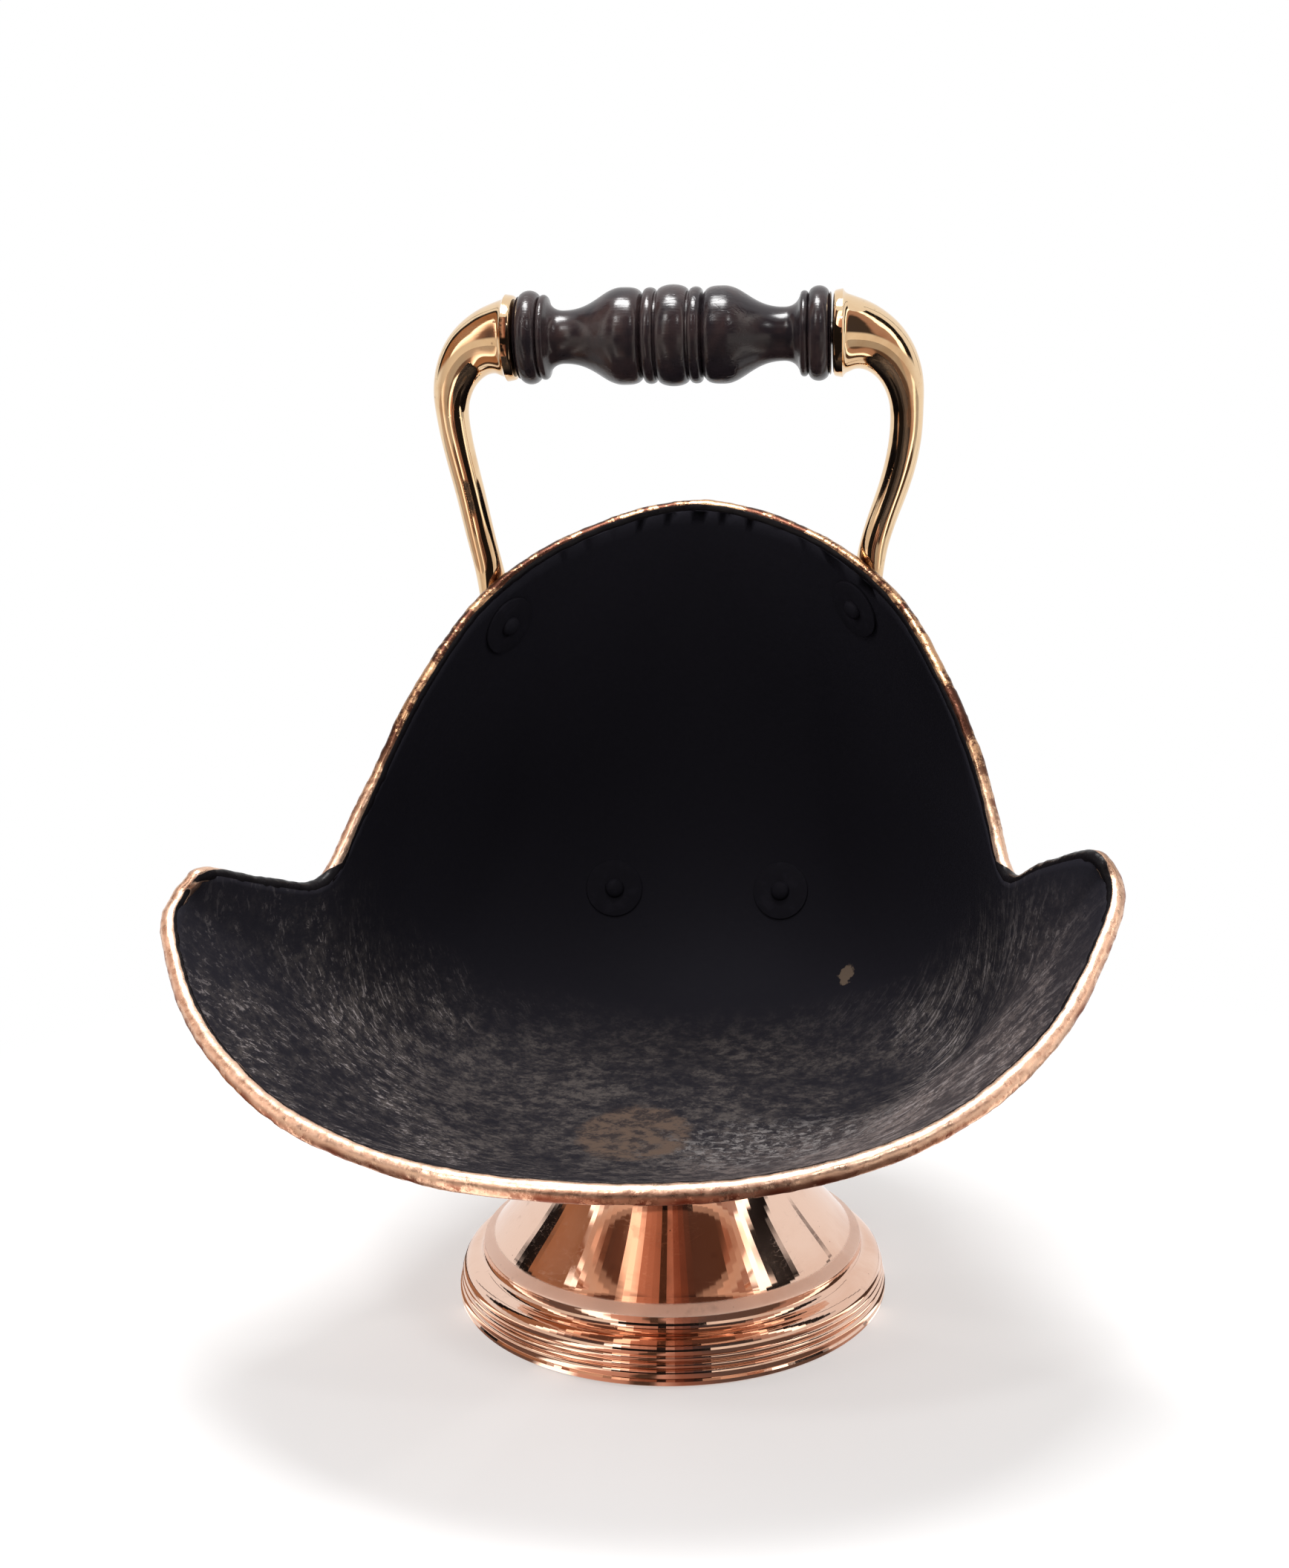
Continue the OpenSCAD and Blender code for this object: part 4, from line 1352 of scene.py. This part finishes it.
# %% Colours of the shop, in degrees from the front
SHOP_DARK = (0.055, 0.045, 0.05)
BLACK_GAP = (0.012, 0.01, 0.01)
STREAK = (2.6, 2.4, 2.2)
FOOT_STOPS = [
    (-150, WHITE), (-112, WHITE), (-111, BLACK_GAP), (-100, BLACK_GAP),
    (-98, (0.40, 0.19, 0.10)), (-72, (0.30, 0.14, 0.07)), (-69, STREAK),
    (-60, (1.2, 0.9, 0.75)), (-56, (0.30, 0.17, 0.13)), (-46, (0.07, 0.05, 0.05)),
    (-31, (0.10, 0.06, 0.05)), (-28, STREAK), (-21, STREAK), (-18, (0.75, 0.42, 0.32)),
    (-5, (0.5, 0.26, 0.19)), (-3, BLACK_GAP), (2, BLACK_GAP), (4, (0.7, 0.42, 0.34)),
    (9, (0.26, 0.10, 0.07)), (20, SHOP_DARK), (50, (0.06, 0.045, 0.04)),
    (54, (0.45, 0.27, 0.21)), (68, (0.5, 0.33, 0.26)), (71, STREAK), (79, STREAK),
    (82, BLACK_GAP), (98, BLACK_GAP), (100, WHITE), (150, WHITE)]
ARM_STOPS = [
    (-150, WHITE), (-100, WHITE), (-80, (0.7, 0.62, 0.56)), (-50, (0.85, 0.75, 0.65)),
    (-26, (1.0, 0.9, 0.8)), (-24, BLACK_GAP), (24, BLACK_GAP),
    (26, (1.0, 0.9, 0.8)), (60, (0.8, 0.72, 0.64)), (100, WHITE), (150, WHITE)]
RAMP_TURN = 150
DOOR_FRAME = math.radians(124)
print("stops:", len(FOOT_STOPS), "for the foot and", len(ARM_STOPS), "for the arms")


# %% Bands round the axis
def turn_from_front(tree, wobble):
    """Direction round the axis, in radians from the front, a little wavy."""
    place = object_place(tree)
    axes = axes_of(tree, place)
    turn = calc(tree, "ARCTAN2", axes["X"], times(tree, axes["Y"], -1.0))
    shift = calc(tree, "SUBTRACT", noise(tree, place, 5, 4, 0.6), 0.5)
    return calc(tree, "ADD", turn, times(tree, shift, wobble))


def ramp(tree, turn, stops):
    """A colour ramp with these stops, in degrees from the front."""
    limit = math.radians(RAMP_TURN)
    place = add(tree, "MapRange", {"Value": turn, "From Min": -limit, "From Max": limit})
    bands = add(tree, "ValToRGB", {"Fac": place.outputs["Result"]})
    marks = bands.color_ramp.elements
    marks.remove(marks[1])
    for number, (degrees, colour) in enumerate(stops):
        position = (degrees + RAMP_TURN) / (2 * RAMP_TURN)
        stop = marks.new(position) if number else marks[0]
        stop.position = position
        stop.color = rgba(colour)
    return bands.outputs["Color"]


def foot_bands(tree, wobble):
    """The bands that the foot mirrors, with a door frame's thin line on each side."""
    turn = turn_from_front(tree, wobble)
    from_frame = calc(tree, "SUBTRACT", calc(tree, "ABSOLUTE", turn), DOOR_FRAME)
    line = remap(tree, calc(tree, "ABSOLUTE", from_frame), 0.035, 0.015)
    return blend_colour(tree, times(tree, line, 0.8), ramp(tree, turn, FOOT_STOPS), SHOP_DARK)


def arm_bands(tree, wobble):
    """The bands that the arms mirror."""
    return ramp(tree, turn_from_front(tree, wobble), ARM_STOPS)


# %% Cards that only mirror rays see
def mirror_card(piece, name, colour):
    """Make a piece a shining card that only glossy rays see."""
    piece.name = name
    bpy.ops.object.transform_apply(location=True, rotation=True, scale=True)
    material, tree, shader = new_material(name)
    tree.nodes.remove(shader)
    shine = add(tree, "Emission", {"Color": colour(tree)})
    tree.links.new(shine.outputs[0], tree.nodes["Material Output"].inputs["Surface"])
    give(piece, material)
    piece.visible_camera = piece.visible_diffuse = False
    piece.visible_transmission = piece.visible_shadow = False


# %% The shop's wall
WALL_RADIUS = 1.0
WALL_HEIGHT = 1.9
ARM_ZONE = (0.30, 0.42)


def wall_colour(tree):
    """The arms' bands low down, and the foot's bands above them."""
    high_up = remap(tree, axes_of(tree, object_place(tree))["Z"], *ARM_ZONE)
    return blend_colour(tree, high_up, arm_bands(tree, 0.03), foot_bands(tree, 0.16))


pick()
bpy.ops.mesh.primitive_cylinder_add(vertices=96, radius=WALL_RADIUS, depth=WALL_HEIGHT,
                                    end_fill_type="NOTHING", location=(0, 0, WALL_HEIGHT / 2))
mirror_card(bpy.context.object, "shop_wall", wall_colour)

# %% [markdown]
# The table matters most to the foot's mouldings and to the underside of the bowl, which
# look down. Near the foot it carries the foot's bands with a little warm wood in them,
# and farther out a mixture of both sets of bands.

# %% The table
TABLE_RADIUS = 1.0
TABLE_EDGE = (0.40, 0.46)
TABLE_SHARE = 0.08
TABLE_WOOD = (0.95, 0.55, 0.35)


def table_colour(tree):
    near_foot = blend_colour(tree, TABLE_SHARE, foot_bands(tree, 0.12), TABLE_WOOD)
    farther = blend_colour(tree, 0.5, foot_bands(tree, 0.1), arm_bands(tree, 0.05))
    from_axis = length_of(tree, object_place(tree))
    return blend_colour(tree, remap(tree, from_axis, *TABLE_EDGE), near_foot, farther)


pick()
bpy.ops.mesh.primitive_circle_add(vertices=96, radius=TABLE_RADIUS, fill_type="NGON",
                                  location=(0, 0, 1 * MM))
mirror_card(bpy.context.object, "table_card", table_colour)

# %% [markdown]
# The inner sides of the arms mirror each other and the dark bowl between them. In the
# photograph they are nearly black there, so a dark card stands between the arms.

# %% A dark card between the arms
CARD_LOW, CARD_HIGH = Vector((0, -0.17, 0.17)), Vector((0, 0.01, 0.40))

pick()
bpy.ops.mesh.primitive_plane_add(size=1, location=(CARD_LOW + CARD_HIGH) / 2,
                                 rotation=(0, math.radians(90), 0))
card = bpy.context.object
card.scale = (CARD_HIGH.z - CARD_LOW.z, CARD_HIGH.y - CARD_LOW.y, 1)
mirror_card(card, "dark_card", lambda tree: rgba(BLACK_GAP))

# %% Colour handling
bpy.context.scene.view_settings.view_transform = "Standard"
